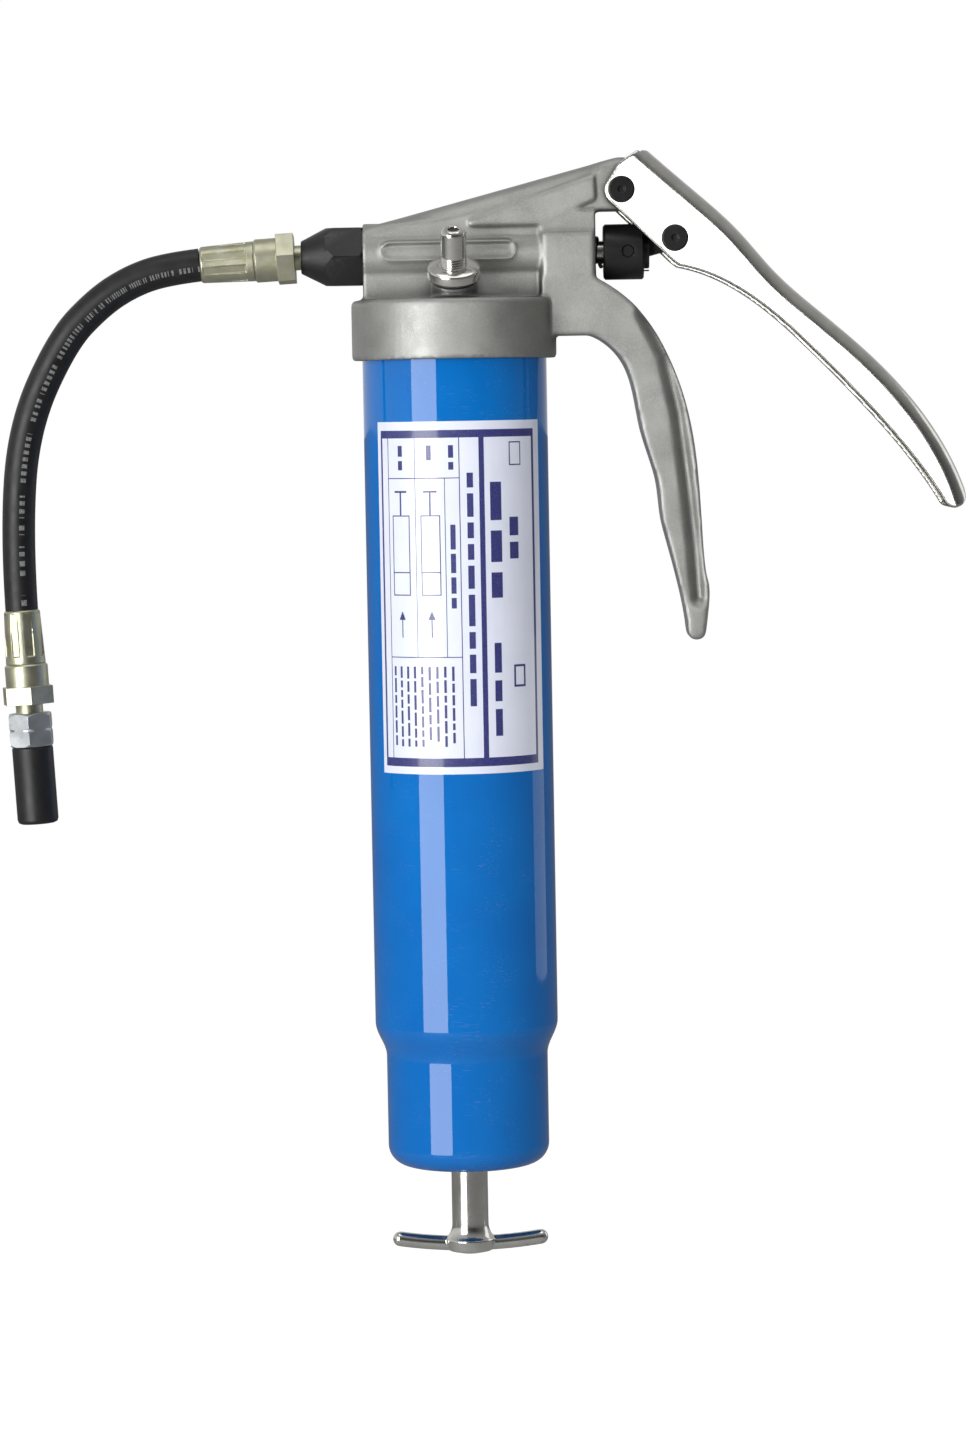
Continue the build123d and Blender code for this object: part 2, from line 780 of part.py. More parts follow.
hose_radii = bend_radii(hose_route)
print("hose bend radii", [round(r, 1) for r in hose_radii])
with BuildPart() as hose:
    with BuildLine(Plane.XZ) as hose_line:
        FilletPolyline(*hose_route, radius=hose_radii)
    with BuildSketch(Plane(origin=hose_line.line @ 0, z_dir=hose_line.line % 0)):
        Circle(hose_radius)
    sweep(path=hose_line.line)
hose_length = hose_line.wires()[0].length
print("hose length", round(hose_length, 1), "volume ratio",
      round(hose.part.volume / (pi * hose_radius**2 * hose_length), 4))
hose.part.label = "hose"
export_step(hose.part, "parts/hose.step")

lean = radians(outlet_lean)
hose_foot = Vector(hose_route[-1][0], 0, hose_route[-1][1])
down_line = Vector(sin(lean), 0, -cos(lean))


def outlet_station(distance):
    """Turning plane on the hanging end's axis, pointing back up the hose."""
    return axis_plane(hose_foot + down_line * distance, down_line * -1, (0, 1, 0))


outlet_collar_from = ferrule_length
outlet_hex_from = outlet_collar_from + crimp_collar_length
outlet_neck_from = outlet_hex_from + hex_width
locknut_from = outlet_neck_from + 2.8
locknut_length = 10.6
sleeve_from = locknut_from + locknut_length
sleeve_end = sleeve_from + coupler_length

with BuildPart() as hose_outlet_ferrule:
    crimped_ferrule(outlet_station(ferrule_length), 0.0)
hose_outlet_ferrule.part.label = "hose_outlet_ferrule"
export_step(hose_outlet_ferrule.part, "parts/hose_outlet_ferrule.step")

with BuildPart() as hose_outlet_fitting:
    hose_end(
        outlet_station(outlet_neck_from), 4.3, -2.8 - locknut_length - 4.0, 0.0, 12.0
    )
hose_outlet_fitting.part.label = "hose_outlet_fitting"
export_step(hose_outlet_fitting.part, "parts/hose_outlet_fitting.step")

with BuildPart() as coupler_locknut:
    nut_plane = outlet_station(locknut_from + locknut_length)
    with BuildSketch(across(nut_plane, 0.0)):
        RegularPolygon(7.5, 6)
    extrude(amount=locknut_length)
    turned(nut_plane, [
        (0, 0),
        (6.6, 0),
        (7.6, 1.0),
        (7.6, 4.6),
        (6.7, 5.0),
        (6.7, 5.6),
        (7.6, 6.0),
        (7.6, 9.4),
        (6.4, locknut_length),
        (0, locknut_length),
    ], mode=Mode.INTERSECT)
    turned(nut_plane, [(0, -1), (4.3, -1), (4.3, 12), (0, 12)], mode=Mode.SUBTRACT)
coupler_locknut.part.label = "coupler_locknut"
export_step(coupler_locknut.part, "parts/coupler_locknut.step")

mouth_plane = outlet_station(sleeve_end)
with BuildPart() as coupler_sleeve:
    turned(mouth_plane, [
        (jaw_radius + 0.05, 0.0),
        (coupler_radius - 1.2, 0.0),
        (coupler_radius - 0.35, 0.4),
        (coupler_radius, 1.4),
        (coupler_radius, coupler_length - 0.5),
        (coupler_radius - 0.5, coupler_length),
        (4.3, coupler_length),
        (4.3, coupler_length - 4.2),
        (jaw_radius + 0.05, coupler_length - 4.2),
    ])
coupler_sleeve.part.label = "coupler_sleeve"
export_step(coupler_sleeve.part, "parts/coupler_sleeve.step")

with BuildPart() as coupler_jaws:
    turned(mouth_plane, [
        (jaw_mouth_radius, 0.3),
        (jaw_radius, 0.3),
        (jaw_radius, 0.3 + jaw_length),
        (jaw_mouth_radius, 0.3 + jaw_length),
    ])
    for slit in range(2):
        with BuildSketch(across(mouth_plane, 0.0, 90.0 * slit + 45.0)) as slit_face:
            Rectangle(20, 0.5)
        extrude(slit_face.sketch, amount=jaw_length + 1, mode=Mode.SUBTRACT)
coupler_jaws.part.label = "coupler_jaws"
export_step(coupler_jaws.part, "parts/coupler_jaws.step")

seal_from = 0.3 + jaw_length
with BuildPart() as coupler_seal:
    turned(mouth_plane, [
        (1.2, seal_from),
        (jaw_radius, seal_from),
        (jaw_radius, seal_from + 2.6),
        (1.2, seal_from + 2.6),
    ])
coupler_seal.part.label = "coupler_seal"
export_step(coupler_seal.part, "parts/coupler_seal.step")

spring_from = seal_from + 2.6
with BuildPart() as coupler_spring:
    coil(
        axis_plane(mouth_plane.origin + mouth_plane.y_dir * (spring_from + 0.05),
                   mouth_plane.y_dir, (0, 1, 0)),
        3.9, 0.5, coupler_length - 4.1 - spring_from, 4,
    )
coupler_spring.part.label = "coupler_spring"
export_step(coupler_spring.part, "parts/coupler_spring.step")


# ------------------------------------------------------------------ follower and handle

rod_plane = axis_plane((0, 0, 0), (0, 0, 1), (1, 0, 0))
with BuildPart() as follower_rod:
    turned(rod_plane, [
        (0, handle_top - 14.0),
        (rod_radius, handle_top - 14.0),
        (rod_radius, rod_top - 2.2),
        (2.9, rod_top - 2.2),
        (2.9, rod_top - 1.0),
        (rod_radius, rod_top - 1.0),
        (rod_radius - 0.8, rod_top),
        (0, rod_top),
    ])
follower_rod.part.label = "follower_rod"
export_step(follower_rod.part, "parts/follower_rod.step")

with BuildPart() as rod_clip:
    # Retaining ring in the groove at the top of the rod
    with BuildSketch(Plane.XY.offset(rod_top - 2.15)):
        Circle(6.0)
        Circle(2.95, mode=Mode.SUBTRACT)
        with Locations((4, 0)):
            Rectangle(8, 3.4, mode=Mode.SUBTRACT)
    extrude(amount=1.1)
rod_clip.part.label = "rod_clip"
export_step(rod_clip.part, "parts/rod_clip.step")

with BuildPart() as follower_cup:
    # Rubber cup that wipes the barrel's wall above and below a stiff core
    turned(rod_plane, [
        (8.2, follower_top),
        (follower_radius - 3.0, follower_top),
        (follower_radius, follower_top - 1.4),
        (follower_radius, follower_top - 3.0),
        (follower_radius - 2.2, follower_top - 5.0),
        (follower_radius - 2.2, follower_top - 8.0),
        (follower_radius, follower_top - 10.0),
        (follower_radius, follower_top - follower_height),
        (follower_radius - 2.4, follower_top - follower_height),
        (follower_radius - 4.4, follower_top - 5.6),
        (8.2, follower_top - 5.6),
    ])
follower_cup.part.label = "follower_cup"
export_step(follower_cup.part, "parts/follower_cup.step")

plate_top = follower_top - 5.6
with BuildPart() as follower_plate:
    # Pressed steel dish under the cup, with a collar that the rod turns in
    turned(rod_plane, [
        (rod_radius + rod_running_gap, plate_top - 1.6),
        (22.6, plate_top - 1.6),
        (22.6, plate_top),
        (8.0, plate_top),
        (8.0, plate_top + 0.9),
        (rod_radius + rod_running_gap, plate_top + 0.9),
    ])
follower_plate.part.label = "follower_plate"
export_step(follower_plate.part, "parts/follower_plate.step")

spring_top = plate_top - 1.7
spring_foot = barrel_floor + barrel_wall + 0.1
with BuildPart() as follower_spring:
    coil(
        axis_plane((0, 0, spring_foot), (0, 0, 1), (1, 0, 0)),
        19.5, 1.2, spring_top - spring_foot, 22,
    )
follower_spring.part.label = "follower_spring"
export_step(follower_spring.part, "parts/follower_spring.step")

with BuildPart() as t_handle:
    # Bar with rounded ends, curved a little upwards, on a flared stem
    with BuildLine(Plane.XZ) as bar_line:
        ThreePointArc(
            (-handle_half_span + 2.4, handle_bar_height + 1.7),
            (0, handle_bar_height),
            (handle_half_span - 2.4, handle_bar_height + 1.7),
        )
    with BuildSketch(Plane(origin=bar_line.line @ 0, z_dir=bar_line.line % 0)):
        Circle(2.4)
    sweep(path=bar_line.line)
    with Locations(bar_line.line @ 0, bar_line.line @ 1):
        Sphere(2.4)
    with BuildSketch(Plane.XZ):
        with BuildLine():
            stem = Polyline(
                (0, handle_top),
                (handle_stem_radius - 0.4, handle_top),
                (handle_stem_radius, handle_top - 0.4),
                (handle_stem_radius, handle_bar_height + 6.4),
            )
            flare = TangentArc(
                stem @ 1,
                (handle_stem_radius + 2.2, handle_bar_height + 1.6),
                tangent=(0, -1),
            )
            Polyline(
                flare @ 1,
                (handle_stem_radius + 1.4, handle_bar_height - 2.0),
                (3.4, handle_bar_height - 2.9),
                (0, handle_bar_height - 2.9),
                (0, handle_top),
            )
        make_face()
    revolve(axis=Axis.Z)
    turned(rod_plane, [
        (0, handle_top + 1),
        (rod_radius, handle_top + 1),
        (rod_radius, handle_top - 14.0),
        (0, handle_top - 14.0),
    ], mode=Mode.SUBTRACT)
t_handle.part.label = "t_handle"
export_step(t_handle.part, "parts/t_handle.step")
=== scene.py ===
import json
import math
import random

import bmesh
import bpy
from mathutils import Matrix, Vector


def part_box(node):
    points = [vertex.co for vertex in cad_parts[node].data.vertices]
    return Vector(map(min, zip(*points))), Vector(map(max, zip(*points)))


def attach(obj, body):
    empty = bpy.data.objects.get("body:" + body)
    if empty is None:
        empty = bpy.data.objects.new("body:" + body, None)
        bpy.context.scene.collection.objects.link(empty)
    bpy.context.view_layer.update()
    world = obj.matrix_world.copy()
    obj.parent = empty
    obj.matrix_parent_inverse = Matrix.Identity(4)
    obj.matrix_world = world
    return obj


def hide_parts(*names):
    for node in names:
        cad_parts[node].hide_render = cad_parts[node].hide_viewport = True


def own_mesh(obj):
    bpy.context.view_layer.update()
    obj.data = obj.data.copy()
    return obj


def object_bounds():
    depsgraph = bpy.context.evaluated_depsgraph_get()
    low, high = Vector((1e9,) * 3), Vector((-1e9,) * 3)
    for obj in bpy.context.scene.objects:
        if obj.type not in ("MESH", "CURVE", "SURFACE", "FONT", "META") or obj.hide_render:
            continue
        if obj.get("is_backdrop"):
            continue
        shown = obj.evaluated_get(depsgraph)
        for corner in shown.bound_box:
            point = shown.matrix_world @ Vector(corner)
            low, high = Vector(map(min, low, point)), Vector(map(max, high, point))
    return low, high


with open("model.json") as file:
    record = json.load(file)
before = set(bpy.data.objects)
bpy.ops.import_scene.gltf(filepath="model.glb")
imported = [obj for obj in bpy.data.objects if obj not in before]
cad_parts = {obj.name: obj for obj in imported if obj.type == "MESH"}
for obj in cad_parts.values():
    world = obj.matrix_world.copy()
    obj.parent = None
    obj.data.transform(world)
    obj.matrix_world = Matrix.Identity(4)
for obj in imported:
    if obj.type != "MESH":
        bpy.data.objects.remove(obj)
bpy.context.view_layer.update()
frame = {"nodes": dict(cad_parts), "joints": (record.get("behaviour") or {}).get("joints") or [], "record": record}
mm = 0.001
nodeBody = {node: body for body, nodes in frame["record"]["behaviour"]["bodies"].items() for node in nodes}
joints = {joint["name"]: joint for joint in frame["joints"]}
print("frame loaded:", len(frame["nodes"]), "nodes")


# camera, level with the collar and turned a little down
cameraSetup = {
    "place": (0.0074, -1.459, -0.0121),
    "pitch": 4.0,
    "tilt": 1.043,
    "lens": 115.4,
}


def makeCamera(setup):
    pitch = math.radians(setup["pitch"])
    tilt = math.radians(setup["tilt"])
    ahead = Vector((0, math.cos(pitch), -math.sin(pitch)))
    level = Vector((0, math.sin(pitch), math.cos(pitch)))
    side = Vector((1, 0, 0)) * math.cos(tilt) - level * math.sin(tilt)
    upward = Vector((1, 0, 0)) * math.sin(tilt) + level * math.cos(tilt)
    camera = bpy.data.objects.new("camera", bpy.data.cameras.new("camera"))
    bpy.context.scene.collection.objects.link(camera)
    turn = Matrix((side, upward, -ahead)).transposed().to_4x4()
    camera.matrix_world = Matrix.Translation(setup["place"]) @ turn
    camera.data.lens = setup["lens"]
    bpy.context.scene.camera = camera


makeCamera(cameraSetup)


# short ways to write node trees
def addNode(tree, kind, inputs=None, **settings):
    node = tree.nodes.new("ShaderNode" + kind)
    for name, value in settings.items():
        setattr(node, name, value)
    for key, value in (inputs or {}).items():
        if isinstance(value, bpy.types.NodeSocket):
            tree.links.new(value, node.inputs[key])
        else:
            node.inputs[key].default_value = value
    return node


def mixColours(tree, share, first, second):
    return addNode(tree, "Mix", {0: share, 6: first, 7: second}, data_type="RGBA").outputs[2]


def calculate(tree, operation, first, second=0.0):
    return addNode(tree, "Math", {0: first, 1: second}, operation=operation).outputs[0]


def spread(tree, value, fromLow, fromHigh, toLow=0.0, toHigh=1.0):
    inputs = {"Value": value, "From Min": fromLow, "From Max": fromHigh, "To Min": toLow, "To Max": toHigh}
    return addNode(tree, "MapRange", inputs).outputs[0]


def opaque(colour):
    return (*colour, 1.0)


def newGroup(name, inputs, outputs):
    group = bpy.data.node_groups.new(name, "ShaderNodeTree")
    for label, value in inputs.items():
        socket = group.interface.new_socket(label, in_out="INPUT", socket_type="NodeSocketFloat")
        socket.default_value = value
    for label in outputs:
        group.interface.new_socket(label, in_out="OUTPUT", socket_type="NodeSocketFloat")
    source = group.nodes.new("NodeGroupInput")
    sink = group.nodes.new("NodeGroupOutput")
    return group, source.outputs, sink.inputs


def useGroup(tree, group, inputs=None):
    node = tree.nodes.new("ShaderNodeGroup")
    node.node_tree = group
    for key, value in (inputs or {}).items():
        node.inputs[key].default_value = value
    return node.outputs


# effects shared by the finishes; sizes are in millimetres
def makeGrainGroup():
    sizes = {"Grain Size": 0.4, "Patch Size": 6.0}
    group, given, made = newGroup("metalGrain", sizes, ["Grain", "Patch", "Pits"])
    place = addNode(group, "TexCoord").outputs["Object"]
    grainScale = calculate(group, "DIVIDE", 1 / mm, given["Grain Size"])
    patchScale = calculate(group, "DIVIDE", 1 / mm, given["Patch Size"])
    fine = {"Vector": place, "Scale": grainScale, "Detail": 4.0, "Roughness": 0.65}
    broad = {"Vector": place, "Scale": patchScale, "Detail": 3.0, "Roughness": 0.55}
    grain = addNode(group, "TexNoise", fine)
    patch = addNode(group, "TexNoise", broad)
    pits = addNode(group, "TexVoronoi", {"Vector": place, "Scale": grainScale, "Randomness": 1.0})
    group.links.new(grain.outputs[0], made["Grain"])
    group.links.new(patch.outputs[0], made["Patch"])
    group.links.new(spread(group, pits.outputs["Distance"], 0.0, 0.34, 1.0, 0.0), made["Pits"])
    return group


def makeWearAndShadeGroup():
    sizes = {"Start": 0.52, "Full": 0.60, "Breakup": 2.0, "Reach": 4.0}
    group, given, made = newGroup("edgeWearAndShade", sizes, ["Edges", "Painted Shade"])
    place = addNode(group, "TexCoord").outputs["Object"]
    shape = addNode(group, "NewGeometry").outputs["Pointiness"]
    scale = calculate(group, "DIVIDE", 1 / mm, given["Breakup"])
    breakup = addNode(group, "TexNoise", {"Vector": place, "Scale": scale, "Detail": 4.0}).outputs[0]
    edges = spread(group, shape, given["Start"], given["Full"])
    uneven = spread(group, breakup, 0.35, 0.6, 0.35, 1.0)
    group.links.new(calculate(group, "MULTIPLY", edges, uneven), made["Edges"])
    # painted shade: ambient occlusion marks the recesses that the casting darkens
    reach = calculate(group, "MULTIPLY", given["Reach"], mm)
    shade = addNode(group, "AmbientOcclusion", {"Distance": reach}, samples=8).outputs["AO"]
    group.links.new(spread(group, shade, 0.95, 0.42), made["Painted Shade"])
    return group


def makeScratchGroup():
    sizes = {"Spacing": 0.5, "Angle": 0.0, "Amount": 0.5}
    group, given, made = newGroup("fineScratches", sizes, ["Scratches"])
    place = addNode(group, "TexCoord").outputs["Object"]
    turn = addNode(group, "CombineXYZ", {"Y": given["Angle"]}).outputs[0]
    drawnOut = {"Vector": place, "Rotation": turn, "Scale": (0.06, 1.0, 1.0)}
    turned = addNode(group, "Mapping", drawnOut).outputs[0]
    scale = calculate(group, "DIVIDE", 1 / mm, given["Spacing"])
    thin = {"Vector": turned, "Scale": scale, "Detail": 2.0, "Distortion": 0.6}
    streaks = addNode(group, "TexNoise", thin)
    patches = addNode(group, "TexNoise", {"Vector": place, "Scale": 90.0, "Detail": 2.0}).outputs[0]
    lines = spread(group, streaks.outputs[0], 0.60, 0.68)
    where = spread(group, patches, 0.48, 0.62)
    shown = calculate(group, "MULTIPLY", lines, where)
    group.links.new(calculate(group, "MULTIPLY", shown, given["Amount"]), made["Scratches"])
    return group


def makeSmudgeGroup():
    group, given, made = newGroup("handlingSmudges", {"Size": 14.0, "Low": 0.2, "High": 0.3}, ["Roughness"])
    place = addNode(group, "TexCoord").outputs["Object"]
    scale = calculate(group, "DIVIDE", 1 / mm, given["Size"])
    soft = {"Vector": place, "Scale": scale, "Detail": 5.0, "Roughness": 0.6}
    cloud = addNode(group, "TexNoise", soft).outputs[0]
    group.links.new(spread(group, cloud, 0.35, 0.65, given["Low"], given["High"]), made["Roughness"])
    return group


metalGrain = makeGrainGroup()
edgeWearAndShade = makeWearAndShadeGroup()
fineScratches = makeScratchGroup()
handlingSmudges = makeSmudgeGroup()


def newFinish(name, fixed):
    material = bpy.data.materials.new(name)
    material.use_nodes = True
    tree = material.node_tree
    shader = tree.nodes["Principled BSDF"]
    for socket, value in fixed.items():
        shader.inputs[socket].default_value = value
    return material, tree, shader


def addBump(tree, shader, height, strength, depth):
    bump = addNode(tree, "Bump", {"Height": height, "Strength": strength, "Distance": depth * mm})
    tree.links.new(bump.outputs[0], shader.inputs["Normal"])


# satin die-cast aluminium: speckled skin, paler rubbed edges, painted shade darkening the hollows
castLook = {
    "skin": (0.30, 0.30, 0.285),
    "speckle": (0.42, 0.42, 0.405),
    "edge": (0.40, 0.40, 0.385),
    "hollowShade": (0.030, 0.030, 0.028),
    "grain": 0.45,
    "patch": 9.0,
}


def makeCastAlloy(look):
    material, tree, shader = newFinish("castAlloy", {"Metallic": 0.72, "Specular IOR Level": 0.5})
    grain = useGroup(tree, metalGrain, {"Grain Size": look["grain"], "Patch Size": look["patch"]})
    wearAndShade = useGroup(tree, edgeWearAndShade, {"Start": 0.515, "Full": 0.585, "Breakup": 1.6, "Reach": 8.0})
    smudge = useGroup(tree, handlingSmudges, {"Size": 11.0, "Low": 0.40, "High": 0.56})
    patches = spread(tree, grain["Patch"], 0.3, 0.7)
    speckles = spread(tree, grain["Grain"], 0.45, 0.75)
    skin = mixColours(tree, patches, opaque(look["skin"]), opaque([part * 1.22 for part in look["skin"]]))
    skin = mixColours(tree, speckles, skin, opaque(look["speckle"]))
    skin = mixColours(tree, wearAndShade["Edges"], skin, opaque(look["edge"]))
    # painted shade: the near-black hollow colour is mixed in where ambient occlusion finds recesses
    skin = mixColours(tree, wearAndShade["Painted Shade"], skin, opaque(look["hollowShade"]))
    tree.links.new(skin, shader.inputs["Base Color"])
    tree.links.new(smudge["Roughness"], shader.inputs["Roughness"])
    height = calculate(tree, "ADD", grain["Grain"], calculate(tree, "MULTIPLY", grain["Pits"], 0.4))
    addBump(tree, shader, height, 0.35, 0.12)
    return material


# gloss blue stoving enamel with a little orange peel
paintLook = {
    "blue": (0.0022, 0.138, 0.462),
    "deep": (0.0018, 0.118, 0.42),
    "chip": (0.30, 0.31, 0.33),
}


def makeBarrelPaint(look):
    fixed = {
        "Metallic": 0.0, "Specular IOR Level": 0.0,
        "Coat Weight": 1.0, "Coat Roughness": 0.03, "Coat IOR": 1.5,
    }
    material, tree, shader = newFinish("barrelPaint", fixed)
    grain = useGroup(tree, metalGrain, {"Grain Size": 0.9, "Patch Size": 30.0})
    smudge = useGroup(tree, handlingSmudges, {"Size": 20.0, "Low": 0.32, "High": 0.42})
    patches = spread(tree, grain["Patch"], 0.3, 0.7)
    paint = mixColours(tree, patches, opaque(look["blue"]), opaque(look["deep"]))
    scratches = useGroup(tree, fineScratches, {"Spacing": 0.35, "Angle": 1.4, "Amount": 0.12})
    paint = mixColours(tree, scratches["Scratches"], paint, opaque(look["chip"]))
    tree.links.new(paint, shader.inputs["Base Color"])
    tree.links.new(smudge["Roughness"], shader.inputs["Roughness"])
    addBump(tree, shader, grain["Grain"], 0.02, 0.05)
    return material


# printed film: the ink attribute says where the navy lies
labelLook = {"film": (0.70, 0.73, 0.84), "dulled": (0.66, 0.69, 0.80), "ink": (0.024, 0.026, 0.15)}


def makeLabelFilm(look):
    fixed = {"Metallic": 0.0, "Coat Weight": 0.6, "Coat Roughness": 0.06}
    material, tree, shader = newFinish("labelFilm", fixed)
    grain = useGroup(tree, metalGrain, {"Grain Size": 0.25, "Patch Size": 12.0})
    ink = addNode(tree, "Attribute", attribute_name="ink").outputs["Fac"]
    patches = spread(tree, grain["Patch"], 0.3, 0.7)
    film = mixColours(tree, patches, opaque(look["film"]), opaque(look["dulled"]))
    patchy = calculate(tree, "MULTIPLY", ink, spread(tree, grain["Grain"], 0.25, 0.5, 0.86, 1.0))
    tree.links.new(mixColours(tree, patchy, film, opaque(look["ink"])), shader.inputs["Base Color"])
    tree.links.new(spread(tree, grain["Patch"], 0.3, 0.7, 0.3, 0.42), shader.inputs["Roughness"])
    addBump(tree, shader, grain["Grain"], 0.03, 0.03)
    return material


# metal finishes that differ in colour, gloss and wear
platedLooks = {
    "nickelPlate": {
        "metal": (0.80, 0.79, 0.755), "dull": (0.70, 0.695, 0.65), "wornAndShade": (0.20, 0.185, 0.14),
        "low": 0.14, "high": 0.20, "grain": 0.5, "bump": 0.02, "angle": 0.72, "scratch": 0.5,
    },
    "blackSteel": {
        "metal": (0.008, 0.008, 0.009), "dull": (0.012, 0.012, 0.013), "wornAndShade": (0.055, 0.055, 0.055),
        "low": 0.36, "high": 0.48, "grain": 0.35, "bump": 0.10, "angle": 0.3, "scratch": 0.25,
    },
    "yellowZinc": {
        "metal": (0.58, 0.57, 0.44), "dull": (0.46, 0.46, 0.31), "wornAndShade": (0.60, 0.58, 0.50),
        "low": 0.34, "high": 0.48, "grain": 0.6, "bump": 0.05, "angle": 0.1, "scratch": 0.3,
    },
    "clearZinc": {
        "metal": (0.74, 0.78, 0.80), "dull": (0.60, 0.64, 0.67), "wornAndShade": (0.80, 0.81, 0.80),
        "low": 0.30, "high": 0.42, "grain": 0.5, "bump": 0.05, "angle": 0.2, "scratch": 0.3,
    },
    "polishedSteel": {
        "metal": (0.62, 0.62, 0.60), "dull": (0.48, 0.48, 0.45), "wornAndShade": (0.70, 0.69, 0.66),
        "low": 0.14, "high": 0.26, "grain": 0.5, "bump": 0.03, "angle": 0.0, "scratch": 0.4,
    },
    "springSteel": {
        "metal": (0.19, 0.19, 0.20), "dull": (0.11, 0.11, 0.12), "wornAndShade": (0.36, 0.36, 0.36),
        "low": 0.28, "high": 0.42, "grain": 0.3, "bump": 0.06, "angle": 0.0, "scratch": 0.2,
    },
}


def makePlated(name, look):
    metallic = 0.0 if name == "blackSteel" else 1.0
    material, tree, shader = newFinish(name, {"Metallic": metallic, "Specular IOR Level": 0.5})
    grain = useGroup(tree, metalGrain, {"Grain Size": look["grain"], "Patch Size": 5.0})
    wearAndShade = useGroup(tree, edgeWearAndShade, {"Start": 0.53, "Full": 0.64, "Breakup": 1.0})
    smudge = useGroup(tree, handlingSmudges, {"Size": 8.0, "Low": look["low"], "High": look["high"]})
    drawn = {"Spacing": 0.3, "Angle": look["angle"], "Amount": look["scratch"]}
    scratches = useGroup(tree, fineScratches, drawn)["Scratches"]
    patches = spread(tree, grain["Patch"], 0.36, 0.66)
    rubbed = calculate(tree, "MULTIPLY", wearAndShade["Edges"], 0.6)
    scored = calculate(tree, "MULTIPLY", scratches, 0.5)
    metal = mixColours(tree, patches, opaque(look["metal"]), opaque(look["dull"]))
    metal = mixColours(tree, rubbed, metal, opaque(look["wornAndShade"]))
    metal = mixColours(tree, scored, metal, opaque(look["wornAndShade"]))
    # painted shade: faces the lever marks in its shade attribute take the dark worn colour
    leverShade = addNode(tree, "Attribute", attribute_name="leverShade").outputs["Fac"]
    metal = mixColours(tree, leverShade, metal, opaque(look["wornAndShade"]))
    tree.links.new(metal, shader.inputs["Base Color"])
    rough = calculate(tree, "ADD", smudge["Roughness"], calculate(tree, "MULTIPLY", scratches, 0.15))
    tree.links.new(rough, shader.inputs["Roughness"])
    addBump(tree, shader, grain["Grain"], look["bump"], 0.1)
    return material


# hose cover: matt black rubber with a row of plain pale marks along it
hoseLook = {
    "rubber": (0.007, 0.007, 0.0075),
    "bloom": (0.013, 0.013, 0.014),
    "mark": (0.30, 0.30, 0.30),
    "marks": 88.0,  # along the whole hose
    "markShare": 0.55,
    "groupScale": 0.45,
    "groupStart": 0.46,
    "lineAt": 0.92,  # share of the way round
    "lineHalf": 0.026,
}


def makeHoseRubber(look):
    material, tree, shader = newFinish("hoseRubber", {"Metallic": 0.0, "Specular IOR Level": 0.45})
    grain = useGroup(tree, metalGrain, {"Grain Size": 0.5, "Patch Size": 4.0})
    patches = spread(tree, grain["Patch"], 0.35, 0.7)
    cover = mixColours(tree, patches, opaque(look["rubber"]), opaque(look["bloom"]))
    place = addNode(tree, "SeparateXYZ", {0: addNode(tree, "UVMap").outputs[0]})
    along = calculate(tree, "MULTIPLY", place.outputs["X"], look["marks"])
    alongOnly = addNode(tree, "CombineXYZ", {"X": along}).outputs[0]
    group = addNode(tree, "TexNoise", {"Vector": alongOnly, "Scale": look["groupScale"]})
    offLine = calculate(tree, "ABSOLUTE", calculate(tree, "SUBTRACT", place.outputs["Y"], look["lineAt"]))
    dash = calculate(tree, "LESS_THAN", calculate(tree, "FRACT", along), look["markShare"])
    for mask in (
        calculate(tree, "GREATER_THAN", group.outputs[0], look["groupStart"]),
        calculate(tree, "LESS_THAN", offLine, look["lineHalf"]),
        spread(tree, grain["Grain"], 0.35, 0.6, 0.3, 1.0),
    ):
        dash = calculate(tree, "MULTIPLY", dash, mask)
    tree.links.new(mixColours(tree, dash, cover, opaque(look["mark"])), shader.inputs["Base Color"])
    tree.links.new(spread(tree, grain["Patch"], 0.3, 0.7, 0.38, 0.52), shader.inputs["Roughness"])
    addBump(tree, shader, grain["Grain"], 0.12, 0.1)
    return material


sealLook = {"rubber": (0.020, 0.018, 0.017), "dust": (0.06, 0.055, 0.05)}


def makeSealRubber(look):
    material, tree, shader = newFinish("sealRubber", {"Metallic": 0.0})
    grain = useGroup(tree, metalGrain, {"Grain Size": 0.3, "Patch Size": 3.0})
    patches = spread(tree, grain["Patch"], 0.4, 0.8)
    rubber = mixColours(tree, patches, opaque(look["rubber"]), opaque(look["dust"]))
    tree.links.new(rubber, shader.inputs["Base Color"])
    tree.links.new(spread(tree, grain["Patch"], 0.3, 0.7, 0.5, 0.7), shader.inputs["Roughness"])
    addBump(tree, shader, grain["Grain"], 0.1, 0.08)
    return material


finishes = {name: makePlated(name, look) for name, look in platedLooks.items()}
finishes["castAlloy"] = makeCastAlloy(castLook)
finishes["barrelPaint"] = makeBarrelPaint(paintLook)
finishes["labelFilm"] = makeLabelFilm(labelLook)
finishes["hoseRubber"] = makeHoseRubber(hoseLook)
finishes["sealRubber"] = makeSealRubber(sealLook)
print("finishes made:", len(finishes))


# mesh helpers
def newObject(name, mesh):
    piece = bpy.data.objects.new(name, mesh)
    bpy.context.scene.collection.objects.link(piece)
    return piece


def mergedCopy(node):
    shape = bmesh.new()
    shape.from_mesh(frame["nodes"][node].data)
    bmesh.ops.remove_doubles(shape, verts=shape.verts, dist=0.002 * mm)
    bmesh.ops.dissolve_limit(shape, angle_limit=math.radians(0.2), verts=shape.verts, edges=shape.edges)
    mesh = bpy.data.meshes.new(node)
    shape.to_mesh(mesh)
    shape.free()
    mesh.materials.clear()
    return mesh


def smoothByAngle(mesh, angle):
    mesh.shade_smooth()
    mesh.set_sharp_from_angle(angle=math.radians(angle))


